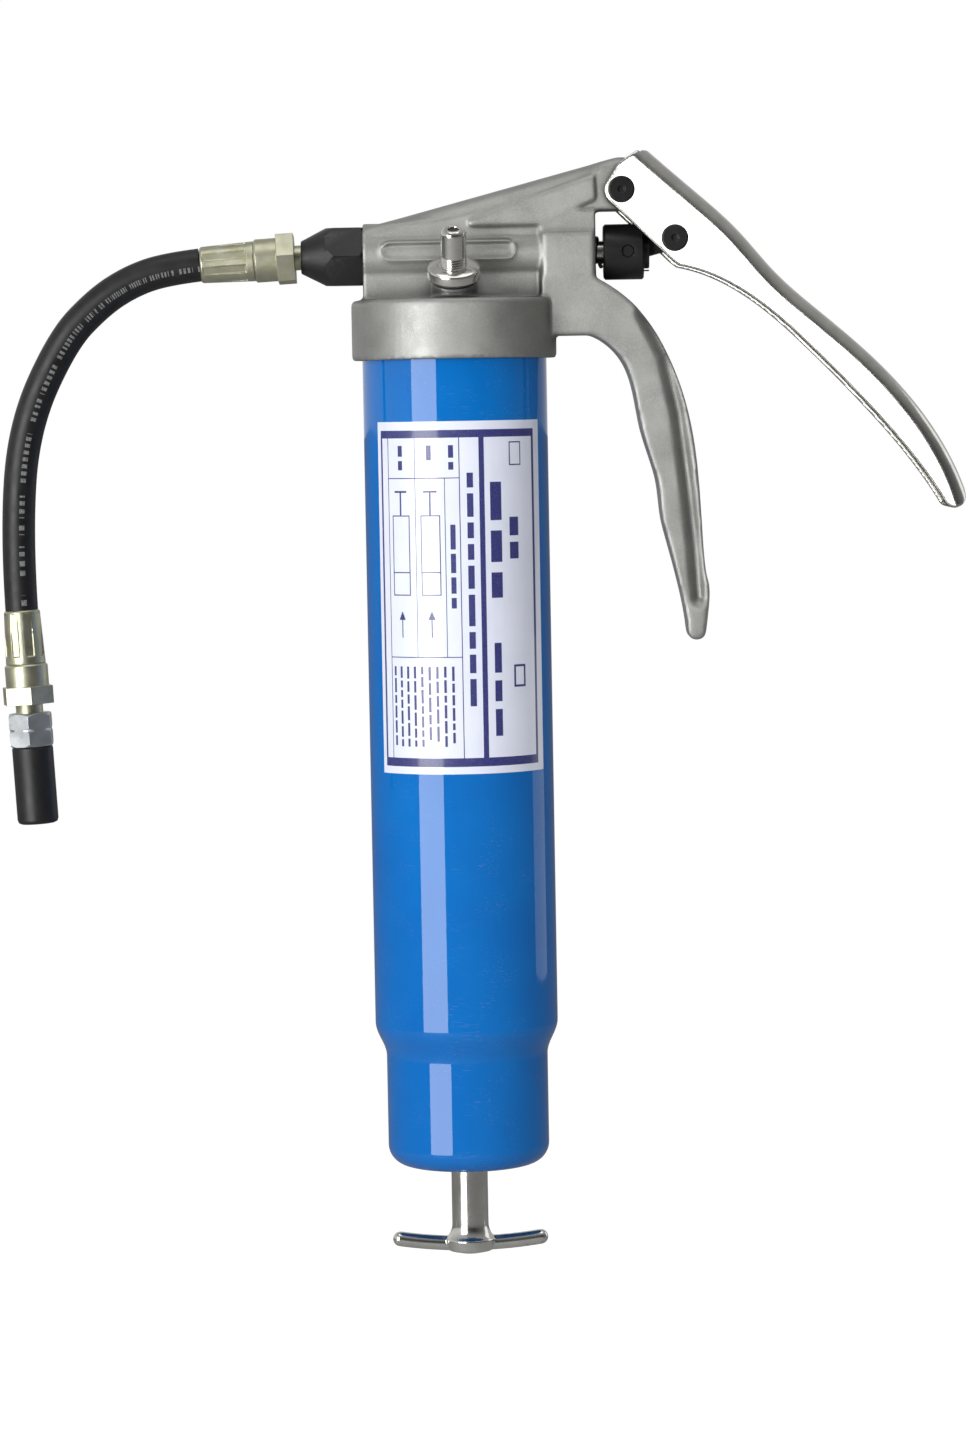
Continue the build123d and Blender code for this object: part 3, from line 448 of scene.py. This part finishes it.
def settle(piece):
    # swaps the object's mesh for what its modifiers make, and drops them
    graph = bpy.context.evaluated_depsgraph_get()
    mesh = bpy.data.meshes.new_from_object(piece.evaluated_get(graph), depsgraph=graph)
    piece.modifiers.clear()
    piece.data = mesh


def softenEdges(piece, width, segments=2):
    bevel = piece.modifiers.new("softEdges", "BEVEL")
    bevel.width = width * mm
    bevel.segments = segments
    bevel.limit_method = "ANGLE"
    bevel.angle_limit = math.radians(32)
    bevel.harden_normals = False
    settle(piece)


def finishPiece(piece, finish, nodes, body=None, shown=34):
    smoothByAngle(piece.data, shown)
    evened = piece.modifiers.new("evened", "WEIGHTED_NORMAL")
    evened.keep_sharp = True
    settle(piece)
    piece.data.materials.clear()
    piece.data.materials.append(finishes[finish])
    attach(piece, body or nodeBody[nodes[0]])
    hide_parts(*nodes)
    return piece


def dressedPiece(name, node, finish, edge):
    piece = newObject(name, mergedCopy(node))
    softenEdges(piece, edge)
    return finishPiece(piece, finish, [node])


def remeshedPiece(name, node, voxel, passes):
    piece = newObject(name, mergedCopy(node))
    remesh = piece.modifiers.new("cast", "REMESH")
    remesh.mode = "VOXEL"
    remesh.voxel_size = voxel * mm
    settle(piece)
    smoothing = piece.modifiers.new("flow", "SMOOTH")
    smoothing.factor = 0.5
    smoothing.iterations = passes
    settle(piece)
    return piece


def placing(origin, axis):
    turn = Vector((0, 0, 1)).rotation_difference(Vector(axis)).to_matrix().to_4x4()
    return Matrix.Translation(Vector(origin)) @ turn


def turnedMesh(name, outline, origin, axis, segments=96):
    # a closed outline of (radius, distance) in millimetres, turned round an axis
    shape = bmesh.new()
    rings = []
    for radius, distance in outline:
        if radius < 1e-6:
            rings.append([shape.verts.new((0, 0, distance * mm))])
            continue
        ring = []
        for step in range(segments):
            angle = 2 * math.pi * step / segments
            x, y = radius * math.cos(angle) * mm, radius * math.sin(angle) * mm
            ring.append(shape.verts.new((x, y, distance * mm)))
        rings.append(ring)
    pairs = list(zip(rings, rings[1:] + rings[:1]))
    for low, high in pairs:
        if len(low) == 1 and len(high) == 1:
            continue
        for step in range(segments):
            after = (step + 1) % segments
            corners = [low[step % len(low)], low[after % len(low)]]
            corners += [high[after % len(high)], high[step % len(high)]]
            shape.faces.new(list(dict.fromkeys(corners)))  # one corner fewer at a pole
    bmesh.ops.recalc_face_normals(shape, faces=shape.faces)
    shape.transform(placing(origin, axis))
    mesh = bpy.data.meshes.new(name)
    shape.to_mesh(mesh)
    shape.free()
    return mesh


# the hose, its fittings and the coupler at its end
hoseSetup = {
    "route": [
        (-0.0795, 0.0310), (-0.0908, 0.0298), (-0.1017, 0.0261), (-0.1117, 0.0198),
        (-0.1233, 0.0081), (-0.1362, -0.0188), (-0.1393, -0.0525), (-0.1383, -0.0766),
    ],
    "diameter": 0.0104,
    "length": 0.137,
}


def makeHose(setup):
    line = bpy.data.curves.new("hose_cover", "CURVE")
    line.dimensions = "3D"
    spline = line.splines.new("NURBS")
    spline.points.add(len(setup["route"]) - 1)
    for point, (x, z) in zip(spline.points, setup["route"]):
        point.co = (x, 0.0, z, 1.0)
    spline.order_u = 3
    spline.use_endpoint_u = True
    spline.resolution_u = 16
    line.bevel_depth = setup["diameter"] / 2
    line.bevel_resolution = 12
    line.use_fill_caps = True
    line.materials.append(finishes["hoseRubber"])
    hose = bpy.data.objects.new("hose_cover", line)
    bpy.context.scene.collection.objects.link(hose)
    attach(hose, nodeBody["hose"])
    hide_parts("hose")
    return hose


def crimpedPiece(name, node, finish):
    piece = remeshedPiece(name, node, 0.16, 5)
    return finishPiece(piece, finish, [node], shown=60)


hoseCover = makeHose(hoseSetup)
hoseParts = [
    dressedPiece("inlet_fitting", "hose_inlet_fitting", "yellowZinc", 0.25),
    crimpedPiece("inlet_ferrule", "hose_inlet_ferrule", "yellowZinc"),
    crimpedPiece("outlet_ferrule", "hose_outlet_ferrule", "yellowZinc"),
    dressedPiece("outlet_fitting", "hose_outlet_fitting", "yellowZinc", 0.25),
    dressedPiece("coupler_nut", "coupler_locknut", "clearZinc", 0.2),
    dressedPiece("coupler_body", "coupler_sleeve", "blackSteel", 0.15),
    dressedPiece("coupler_collet", "coupler_jaws", "polishedSteel", 0.1),
]
print("hose and fittings made")


# head casting: one soft-edged skin over the machined shape, with a finger groove down the grip
castSetup = {
    "voxel": 0.62,
    "passes": 5,
    "gripPasses": 26,
    "grooveDepth": 2.4,
    "grooveReach": 2.6,
    "groove": [(59.6, 13.0), (66.0, 0.0), (70.0, -18.0), (72.6, -40.0), (74.6, -60.0), (75.6, -76.0)],
    "ridge": [(-28.0, 41.3), (50.0, 61.9)],
    "taper": 2.6,
    "taperBand": 5.0,
    "taperFoot": 42.6,
    "taperEnd": 47.0,
    "pumpAxis": 32.7,
    "bores": [(-15.0, 16.0, 4.6, 4.0), (17.0, 35.8, 6.6, 5.9), (36.8, 44.3, 9.6, 9.05)],
    "cartouche": {"centre": (-1.2, 33.9), "length": 42.0, "height": 5.8, "wall": 10.2, "wire": 0.42},
}


def distanceToPath(x, z, path):
    nearest = 1e9
    for (x0, z0), (x1, z1) in zip(path, path[1:]):
        span = (x1 - x0) ** 2 + (z1 - z0) ** 2
        share = max(0.0, min(1.0, ((x - x0) * (x1 - x0) + (z - z0) * (z1 - z0)) / span))
        nearest = min(nearest, math.hypot(x - x0 - share * (x1 - x0), z - z0 - share * (z1 - z0)))
    return nearest


def smoothGrip(piece, passes):
    group = piece.vertex_groups.new(name="grip")
    for vertex in piece.data.vertices:
        x, z = vertex.co.x / mm, vertex.co.z / mm
        if x > 44 and z < 16:
            group.add([vertex.index], min(1.0, (16 - z) / 16), "REPLACE")
    smoothing = piece.modifiers.new("gripRound", "SMOOTH")
    smoothing.factor = 0.5
    smoothing.iterations = passes
    smoothing.vertex_group = "grip"
    settle(piece)


def cutGrooves(mesh, setup):
    for vertex in mesh.vertices:
        x, y, z = (part / mm for part in vertex.co)
        if x < 50 or z > 18 or abs(y) < 3:
            continue
        distance = distanceToPath(x, z, setup["groove"])
        share = math.exp(-((distance / setup["grooveReach"]) ** 2) * 1.6)
        ramp = min(1.0, max(0.0, (abs(y) - 3) / 3))
        vertex.co.y -= math.copysign(setup["grooveDepth"] * share * ramp * mm, y)


def taperArm(mesh, setup):
    # the arm thins towards its ridge, above the pocket
    (leftX, leftZ), (rightX, rightZ) = setup["ridge"]
    for vertex in mesh.vertices:
        x, y, z = (part / mm for part in vertex.co)
        ridge = leftZ + (rightZ - leftZ) * (x - leftX) / (rightX - leftX)
        drop = ridge - z
        if leftX < x < setup["taperEnd"] and z > setup["taperFoot"] and drop < setup["taperBand"]:
            share = min(1.0, (setup["taperEnd"] - x) / 4) * min(1.0, (z - setup["taperFoot"]) / 2)
            inward = setup["taper"] * share * (1 - max(0.0, drop) / setup["taperBand"])
            vertex.co.y -= math.copysign(min(inward, abs(y)) * mm, y)


def trueBores(mesh, setup):
    # the running fits keep their room inside the soft skin
    for vertex in mesh.vertices:
        x, y, z = (part / mm for part in vertex.co)
        height = z - setup["pumpAxis"]
        reach = math.hypot(y, height)
        for left, right, limit, radius in setup["bores"]:
            if left < x < right and 0.1 < reach < limit:
                vertex.co.y = y / reach * max(reach, radius) * mm
                vertex.co.z = (setup["pumpAxis"] + height / reach * max(reach, radius)) * mm


def addCartouche(piece, setup, pumpAxis):
    # raised blank oval on the front of the pump body
    line = bpy.data.curves.new("cartouche", "CURVE")
    line.dimensions = "3D"
    spline = line.splines.new("POLY")
    radius = setup["height"] / 2
    straight = setup["length"] / 2 - radius
    points = []
    for side in (1, -1):
        for step in range(17):
            angle = math.pi / 2 - math.pi * step / 16
            points.append((side * (straight + radius * math.cos(angle)), side * radius * math.sin(angle)))
    spline.points.add(len(points) - 1)
    spline.use_cyclic_u = True
    for point, (across, rise) in zip(spline.points, points):
        x = setup["centre"][0] + across
        z = setup["centre"][1] + rise
        y = -math.sqrt(setup["wall"] ** 2 - (z - pumpAxis) ** 2)
        point.co = (x * mm, y * mm, z * mm, 1.0)
    line.bevel_depth = setup["wire"] * mm
    line.bevel_resolution = 3
    ring = bpy.data.objects.new("cartouche", line)
    bpy.context.scene.collection.objects.link(ring)
    graph = bpy.context.evaluated_depsgraph_get()
    shape = bmesh.new()
    shape.from_mesh(piece.data)
    shape.from_mesh(bpy.data.meshes.new_from_object(ring.evaluated_get(graph)))
    shape.to_mesh(piece.data)
    shape.free()
    bpy.data.objects.remove(ring)


def makeHeadCasting(setup):
    piece = remeshedPiece("head", "head_casting", setup["voxel"], setup["passes"])
    smoothGrip(piece, setup["gripPasses"])
    cutGrooves(piece.data, setup)
    taperArm(piece.data, setup)
    trueBores(piece.data, setup)
    addCartouche(piece, setup["cartouche"], setup["pumpAxis"])
    print("head casting:", 2 * len(piece.data.polygons), "triangles")
    finishPiece(piece, "castAlloy", ["head_casting"], shown=80)


makeHeadCasting(castSetup)


# barrel: a lathe-turned skin with the spun shoulder and the rolled foot
barrelSetup = {
    "side": 29.0, "neck": 25.6, "wall": 1.2, "thread": (28.6, 12.0), "shoulder": (-209.5, -220.5),
    "floor": -255.3, "corner": 6.4, "bush": 7.5, "steps": 14, "segments": 160,
}


def barrelSide(setup, inset):
    # outer or inner side from the top edge down to the foot
    side, neck, corner = setup["side"] - inset, setup["neck"] - inset, setup["corner"] - inset
    top, foot = setup["shoulder"]
    points = [(side, 0.0), (side, top / 2), (side, top)]
    for step in range(1, setup["steps"]):
        share = step / setup["steps"]
        blend = (1 - math.cos(math.pi * share)) / 2
        points.append((side + (neck - side) * blend, top + (foot - top) * share))
    points += [(neck, foot), (neck, setup["floor"] + inset + corner)]
    for step in range(1, setup["steps"] + 1):
        angle = math.pi / 2 * step / setup["steps"]
        rise = corner * (1 - math.sin(angle))
        points.append((neck - corner * (1 - math.cos(angle)), setup["floor"] + inset + rise))
    return points


def makeBarrel(setup):
    outer = barrelSide(setup, 0.0)
    inner = barrelSide(setup, setup["wall"])
    threadRadius, threadTop = setup["thread"]
    outline = [(threadRadius, threadTop), (threadRadius, 0.0)] + outer
    outline += [(setup["bush"], setup["floor"]), (setup["bush"], setup["floor"] + setup["wall"])]
    outline += inner[::-1] + [(setup["side"] - setup["wall"], threadTop)]
    tube = turnedMesh("barrel_tube", outline, (0, 0, 0), (0, 0, 1), setup["segments"])
    finishPiece(newObject("barrel_tube", tube), "barrelPaint", ["barrel"])


makeBarrel(barrelSetup)


# label: a curved film whose grid follows the print, so the ink has crisp edges
labelSetup = {
    "radius": 29.0, "thickness": 0.1, "left": -28.6, "right": 31.2, "top": -19.3, "height": 109.6,
    "arcStep": 1.4, "riseStep": 6.0, "seed": 7,
}


def frameBars():
    # navy frame and dividers: (left, right, down from, down to) in millimetres
    return [
        (-27.0, 28.2, 2.7, 5.1), (-27.0, 28.2, 104.6, 107.3),
        (-27.0, -26.2, 2.7, 107.3), (27.1, 28.2, 2.7, 107.3),
        (7.1, 8.8, 5.1, 104.6), (0.8, 1.1, 5.1, 104.6), (-23.7, -23.4, 5.1, 104.6),
        (-3.8, -3.55, 17.6, 73.0), (-13.4, -13.15, 5.1, 73.0),
        (-23.5, 0.9, 17.4, 17.7), (-23.5, 0.9, 73.0, 73.3),
    ]


def cartridgeSign(left, right, top, foot):
    # plain tube diagram with a plunger
    line, middle = 0.35, (left + right) / 2
    return [
        (left, right, top + 9, top + 9 + line), (left, right, foot, foot + line),
        (left, left + line, top + 9, foot), (right - line, right, top + 9, foot),
        (left, right, foot - 7, foot - 7 + line),
        (middle - 0.3, middle + 0.3, top + 2, top + 9),
        (left + 1, right - 1, top + 1.4, top + 2.0),
    ]


def arrowSign(middle, top):
    bars = [(middle - 0.2, middle + 0.2, top + 2.4, top + 8.0)]
    for step in range(5):
        half = 0.22 * (step + 1)
        bars.append((middle - half, middle + half, top + 0.5 * step, top + 0.5 * step + 0.5))
    return bars


def greekedLine(draw, left, right, top, foot, longest):
    # a line of plain bars where wording would be
    bars = []
    start = top
    while start < foot - longest * 0.3:
        end = min(foot, start + longest * draw.uniform(0.4, 1.0))
        bars.append((left, right, round(start, 1), round(end, 1)))
        start = end + longest * 0.16
    return bars


def labelPrint(setup):
    draw = random.Random(setup["seed"])
    bars = frameBars()
    bars += cartridgeSign(-22.0, -15.4, 20.0, 53.6) + cartridgeSign(-11.6, -5.2, 20.0, 53.6)
    bars += arrowSign(-18.7, 59.0) + arrowSign(-8.4, 59.0)
    bars += greekedLine(draw, 10.6, 14.4, 19.0, 55.0, 20.0)  # bold title
    bars += greekedLine(draw, 17.2, 20.6, 30.0, 43.0, 13.0)
    bars += greekedLine(draw, 11.2, 13.6, 69.0, 98.0, 15.0)
    bars += [(18.0, 22.6, 76.0, 76.7), (18.0, 22.6, 82.3, 83.0), (18.0, 18.7, 76.0, 83.0)]
    bars += [(21.9, 22.6, 76.0, 83.0), (17.4, 22.0, 6.6, 7.0), (17.4, 22.0, 13.6, 14.0)]
    bars += [(17.4, 17.8, 6.6, 14.0), (21.6, 22.0, 6.6, 14.0)]
    bars += greekedLine(draw, 3.2, 5.2, 16.0, 91.0, 11.0)
    bars += greekedLine(draw, -2.1, -0.5, 32.0, 58.0, 8.0)
    for column in (-18.6, -8.6, -1.6):
        bars += greekedLine(draw, column - 0.8, column + 0.8, 7.4, 15.0, 8.0)
    for row in range(9):
        left = -22.4 + row * 2.5
        bars += greekedLine(draw, left, left + 0.8, 76.0, 101.0, 5.0)
    return bars


def makeLabel(setup):
    bars = labelPrint(setup)
    acrossMarks = {setup["left"], setup["right"]} | {side for bar in bars for side in bar[:2]}
    downMarks = {0.0, setup["height"]} | {side for bar in bars for side in bar[2:4]}
    steps = int((setup["right"] - setup["left"]) / setup["arcStep"])
    acrossMarks |= {round(setup["left"] + setup["arcStep"] * step, 3) for step in range(1, steps)}
    downMarks |= {setup["riseStep"] * step for step in range(1, int(setup["height"] / setup["riseStep"]))}
    across, down = sorted(acrossMarks), sorted(downMarks)
    shape = bmesh.new()
    inkLayer = shape.faces.layers.float.new("ink")
    outer = setup["radius"] + setup["thickness"]
    rows = []
    for drop in down:
        row = []
        for arc in across:
            angle = arc / setup["radius"]
            spot = (outer * math.sin(angle) * mm, -outer * math.cos(angle) * mm, (setup["top"] - drop) * mm)
            row.append(shape.verts.new(spot))
        rows.append(row)
    for upper in range(len(down) - 1):
        drop = (down[upper] + down[upper + 1]) / 2
        for step in range(len(across) - 1):
            arc = (across[step] + across[step + 1]) / 2
            above, below = rows[upper][step:step + 2], rows[upper + 1][step:step + 2]
            face = shape.faces.new((above[0], below[0], below[1], above[1]))
            inked = (left < arc < right and start < drop < end for left, right, start, end in bars)
            face[inkLayer] = float(any(inked))
    mesh = bpy.data.meshes.new("label_film")
    shape.to_mesh(mesh)
    shape.free()
    piece = newObject("label_film", mesh)
    film = piece.modifiers.new("film", "SOLIDIFY")
    film.thickness = setup["thickness"] * mm
    film.offset = -1.0
    settle(piece)
    print("label:", 2 * len(piece.data.polygons), "triangles")
    finishPiece(piece, "labelFilm", ["barrel_label"])


makeLabel(labelSetup)
print("barrel and label made")


# filler valve: washer seat, chamfered flange, thread relief and the nipple
valveSetup = {
    "seat": (0.5, -22.1, 24.6), "flange": 8.4, "stem": 4.0, "flangeFoot": 0.6, "flangeHead": 4.8,
    "stemHead": 17.1, "threads": 4, "threadPitch": 0.8,
}
valveAxis = -Vector(joints["bleed_pin_press"]["axis"])


def makeValve(setup):
    flange, stem, foot = setup["flange"], setup["stem"], setup["flangeFoot"]
    head, top = setup["flangeHead"], setup["stemHead"]
    outline = [(1.1, -8.0), (4.9, -8.0), (4.9, foot), (flange - 0.7, foot), (flange, foot + 0.7)]
    outline += [(flange, head - 1.3), (flange - 0.35, head - 0.6), (flange - 1.5, head), (5.3, head)]
    outline += [(4.9, head - 0.4), (stem - 0.1, head - 0.4)]
    height = head + 0.2
    for turn in range(setup["threads"]):
        outline += [(stem, height), (stem - 0.45, height + setup["threadPitch"] / 2)]
        height += setup["threadPitch"]
    outline += [(stem, height), (stem, top - 1.6), (stem - 0.4, top - 0.7), (stem - 1.3, top)]
    # mouth, spring chamber and the hole below it
    outline += [(1.9, top), (1.7, top - 0.3), (1.7, top - 4.0), (2.6, top - 4.0), (2.6, -6.0), (1.1, -6.0)]
    seat = Vector(setup["seat"]) * mm
    piece = newObject("filler_valve", turnedMesh("filler_valve", outline, seat, valveAxis, 72))
    softenEdges(piece, 0.12)
    finishPiece(piece, "nickelPlate", ["valve_body"], shown=40)


makeValve(valveSetup)


# lever, its pins and the black pump slider
leverSetup = {"voxel": 0.42, "passes": 4, "shadeSide": (-0.67, 0.0, -0.74), "facing": 0.45}


def makeLever(setup):
    # painted shade: the plate's faces that turn down and to the left get the darker worn colour
    piece = remeshedPiece("squeeze_lever", "lever", setup["voxel"], setup["passes"])
    finishPiece(piece, "nickelPlate", ["lever"], shown=50)
    leverShade = piece.data.attributes.new("leverShade", "FLOAT", "FACE")
    shadeSide = Vector(setup["shadeSide"])
    for face in piece.data.polygons:
        leverShade.data[face.index].value = 1.0 if face.normal.dot(shadeSide) > setup["facing"] else 0.0


makeLever(leverSetup)
dressedPiece("pivot_pin", "lever_pivot_pin", "blackSteel", 0.18)
dressedPiece("drive_pin", "lever_drive_pin", "blackSteel", 0.18)
dressedPiece("pump_slider", "crosshead", "blackSteel", 0.3)
dressedPiece("slider_link", "toggle_link", "blackSteel", 0.3)
dressedPiece("outlet_nose", "outlet_adapter", "blackSteel", 0.35)
dressedPiece("slider_pin", "wrist_pin", "blackSteel", 0.1)
dressedPiece("pump_plunger", "plunger", "polishedSteel", 0.15)
finishPiece(remeshedPiece("pull_handle", "t_handle", 0.3, 6), "nickelPlate", ["t_handle"], shown=60)
print("lever, pins and handle made")


# springs: one tree winds them all
springSetup = {
    "follower_spring": {"axis": (0, 0, 1), "wire": 1.2, "turns": 22, "joint": "follower_slide"},
    "return_spring": {"axis": (1, 0, 0), "wire": 0.65, "turns": 12, "joint": "plunger_slide"},
    "outlet_spring": {"axis": (1, 0, 0), "wire": 0.3, "turns": 5, "joint": "check_ball_lift"},
    "valve_spring": {"axis": tuple(valveAxis), "wire": 0.3, "turns": 8, "joint": "bleed_pin_press",
                     "coil": 1.95, "length": 16.9},
}


def makeCoilTree():
    tree = bpy.data.node_groups.new("woundSpring", "GeometryNodeTree")
    tree.interface.new_socket("Geometry", in_out="INPUT", socket_type="NodeSocketGeometry")
    for label in ("Coil Radius", "Wire Radius", "Rise", "Turns"):
        tree.interface.new_socket(label, in_out="INPUT", socket_type="NodeSocketFloat")
    tree.interface.new_socket("Finish", in_out="INPUT", socket_type="NodeSocketMaterial")
    tree.interface.new_socket("Geometry", in_out="OUTPUT", socket_type="NodeSocketGeometry")
    given = tree.nodes.new("NodeGroupInput").outputs
    made = tree.nodes.new("NodeGroupOutput").inputs
    spiral = tree.nodes.new("GeometryNodeCurveSpiral")
    spiral.inputs["Resolution"].default_value = 28  # steps in one turn
    section = tree.nodes.new("GeometryNodeCurvePrimitiveCircle")
    section.inputs["Resolution"].default_value = 10  # sides of the wire
    wire = tree.nodes.new("GeometryNodeCurveToMesh")
    wire.inputs["Fill Caps"].default_value = True
    whole = tree.nodes.new("GeometryNodeRealizeInstances")
    painted = tree.nodes.new("GeometryNodeSetMaterial")
    for start, end in (
        (given["Turns"], spiral.inputs["Rotations"]),
        (given["Coil Radius"], spiral.inputs["Start Radius"]),
        (given["Coil Radius"], spiral.inputs["End Radius"]),
        (given["Rise"], spiral.inputs["Height"]),
        (given["Wire Radius"], section.inputs["Radius"]),
        (spiral.outputs[0], wire.inputs["Curve"]),
        (section.outputs[0], wire.inputs["Profile Curve"]),
        (wire.outputs[0], whole.inputs[0]),
        (whole.outputs[0], painted.inputs["Geometry"]),
        (given["Finish"], painted.inputs["Material"]),
        (painted.outputs[0], made[0]),
    ):
        tree.links.new(start, end)
    return tree


coilTree = makeCoilTree()


def makeSpring(node, setup):
    low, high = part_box(node)
    axis = Vector(setup["axis"])
    size = high - low
    length = setup["length"] * mm if "length" in setup else abs(size.dot(axis))
    coil = setup["coil"] * mm if "coil" in setup else size.y / 2 - setup["wire"] * mm
    foot = (low + high) / 2 - axis * length / 2
    piece = newObject(node + "_coil", bpy.data.meshes.new(node + "_coil"))
    winding = piece.modifiers.new("winding", "NODES")
    winding.node_group = coilTree
    sizes = {
        "Coil Radius": coil, "Wire Radius": setup["wire"] * mm, "Rise": length - 2 * setup["wire"] * mm,
        "Turns": float(setup["turns"]), "Finish": finishes["springSteel"],
    }
    for socket in coilTree.interface.items_tree:
        if socket.in_out == "INPUT" and socket.name in sizes:
            winding[socket.identifier] = sizes[socket.name]
    settle(piece)
    piece.data.transform(placing(foot + axis * setup["wire"] * mm, axis))
    finishPiece(piece, "springSteel", [node], body="head", shown=60)
    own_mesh(piece)


for springNode, springValues in springSetup.items():
    makeSpring(springNode, springValues)
print("springs wound:", len(springSetup))


# pieces inside keep their machined shape and get their finish
insideFinishes = {
    "barrel_gasket": "sealRubber", "rod_guide_bush": "clearZinc", "valve_washer": "sealRubber",
    "valve_pin": "blackSteel", "plunger_seal": "sealRubber", "outlet_ball": "polishedSteel",
    "coupler_seal": "sealRubber", "coupler_spring": "springSteel", "follower_rod": "polishedSteel",
    "rod_clip": "springSteel", "follower_cup": "sealRubber", "follower_plate": "clearZinc",
}
for insideNode, insideFinish in insideFinishes.items():
    slots = frame["nodes"][insideNode].data.materials
    slots.clear()
    slots.append(finishes[insideFinish])
print("inside pieces finished:", len(insideFinishes))


# studio: pale floor, one tall softbox on the left, quiet light elsewhere, and cards for single pieces
studioSetup = {
    "floorDrop": 0.26,
    "floorSize": 60.0,
    "floorGlow": 0.85,
    "floorPaper": ((0.40, 0.40, 0.40, 1.0), (0.43, 0.43, 0.43, 1.0)),
    "overhead": 0.35,
    "left": {"azimuth": -39.0, "distance": 1.35, "height": 0.04, "width": 0.78, "tall": 1.15, "power": 16.0},
    "top": {"place": (0.05, -0.35, 1.3), "width": 1.4, "tall": 1.0, "power": 5.0},
    "right": {"azimuth": 112.0, "distance": 1.5, "height": 0.2, "width": 0.7, "tall": 1.2, "power": 2.0},
    "lever": {"azimuth": 9.0, "distance": 1.7, "height": 0.15, "width": 0.95, "tall": 0.95, "power": 9.0},
    "head": {"azimuth": 14.0, "distance": 1.5, "height": 0.10, "width": 0.9, "tall": 0.5, "power": 4.6},
    "fill": {"azimuth": 8.0, "distance": 1.6, "height": 0.0, "width": 0.8, "tall": 0.8, "power": 12.0},
}
# brightness round the horizon, from behind by way of the left, front and right
skySteps = [(0.0, 0.70), (0.33, 0.60), (0.40, 0.07), (0.58, 0.04), (0.72, 0.14), (0.85, 0.35), (1.0, 0.70)]


def makeFloor(setup):
    low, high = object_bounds()
    shape = bmesh.new()
    bmesh.ops.create_grid(shape, x_segments=2, y_segments=2, size=setup["floorSize"])
    shape.transform(Matrix.Translation((0, 0, low.z - setup["floorDrop"])))
    mesh = bpy.data.meshes.new("floor")
    shape.to_mesh(mesh)
    shape.free()
    floor = newObject("floor", mesh)
    material, tree, shader = newFinish("paleFloor", {"Roughness": 0.9, "Specular IOR Level": 0.1})
    grain = useGroup(tree, metalGrain, {"Grain Size": 4.0, "Patch Size": 400.0})
    paper = mixColours(tree, grain["Patch"], *setup["floorPaper"])
    seen = addNode(tree, "LightPath").outputs["Is Camera Ray"]
    tree.links.new(paper, shader.inputs["Base Color"])
    tree.links.new(mixColours(tree, seen, (0, 0, 0, 1), (1, 1, 1, 1)), shader.inputs["Emission Color"])
    shader.inputs["Emission Strength"].default_value = setup["floorGlow"]
    mesh.materials.append(material)
    floor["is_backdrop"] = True


def makeSoftbox(name, place, aim, setup):
    light = bpy.data.lights.new(name, "AREA")
    light.shape = "RECTANGLE"
    light.size = setup["width"]
    light.size_y = setup["tall"]
    light.energy = setup["power"]
    box = bpy.data.objects.new(name, light)
    bpy.context.scene.collection.objects.link(box)
    box.location = place
    box.rotation_euler = (Vector(aim) - Vector(place)).to_track_quat("-Z", "Y").to_euler()
    box.visible_camera = False
    return box


def aroundBarrel(setup):
    angle = math.radians(setup["azimuth"])
    return (setup["distance"] * math.sin(angle), -setup["distance"] * math.cos(angle), setup["height"])


def makeSky(steps, above):
    world = bpy.data.worlds.new("studioSky")
    world.use_nodes = True
    tree = world.node_tree
    way = addNode(tree, "SeparateXYZ", {0: addNode(tree, "TexCoord").outputs["Generated"]}).outputs
    front = calculate(tree, "MULTIPLY", way["Y"], -1.0)
    angle = calculate(tree, "ARCTAN2", way["X"], front)
    ramp = addNode(tree, "ValToRGB", {0: spread(tree, angle, -math.pi, math.pi)})
    while len(ramp.color_ramp.elements) < len(steps):
        ramp.color_ramp.elements.new(0.5)
    for element, (place, level) in zip(ramp.color_ramp.elements, steps):
        element.position = place
        element.color = (level, level, level * 1.01, 1.0)
    overhead = spread(tree, way["Z"], 0.35, 0.85)
    light = mixColours(tree, overhead, ramp.outputs[0], (above, above, above, 1.0))
    seen = addNode(tree, "LightPath").outputs["Is Camera Ray"]
    shown = mixColours(tree, seen, light, (1.0, 1.0, 1.0, 1.0))
    tree.links.new(shown, tree.nodes["Background"].inputs["Color"])
    bpy.context.scene.world = world


def makeStudio(setup):
    makeFloor(setup)
    makeSoftbox("leftSoftbox", aroundBarrel(setup["left"]), (0, 0, setup["left"]["height"]), setup["left"])
    makeSoftbox("topSoftbox", setup["top"]["place"], (0, 0, 0), setup["top"])
    makeSoftbox("rightSoftbox", aroundBarrel(setup["right"]), (0, 0, 0), setup["right"])
    for part, aim, piece in (("lever", (0.1, 0, 0), "squeeze_lever"), ("head", (0, 0, 0.03), "head")):
        card = makeSoftbox(part + "Card", aroundBarrel(setup[part]), aim, setup[part])
        lit = bpy.data.collections.new(part + "Only")
        lit.objects.link(bpy.data.objects[piece])
        card.light_linking.receiver_collection = lit
    # spread light for the painted barrel, unseen in its gloss
    fill = makeSoftbox("paintFill", aroundBarrel(setup["fill"]), (0, 0, -0.1), setup["fill"])
    fill.visible_glossy = False
    painted = bpy.data.collections.new("paintedOnly")
    for name in ("barrel_tube", "label_film"):
        painted.objects.link(bpy.data.objects[name])
    fill.light_linking.receiver_collection = painted
    makeSky(skySteps, setup["overhead"])
    bpy.context.scene.view_settings.view_transform = "Standard"


makeStudio(studioSetup)
print("studio set")
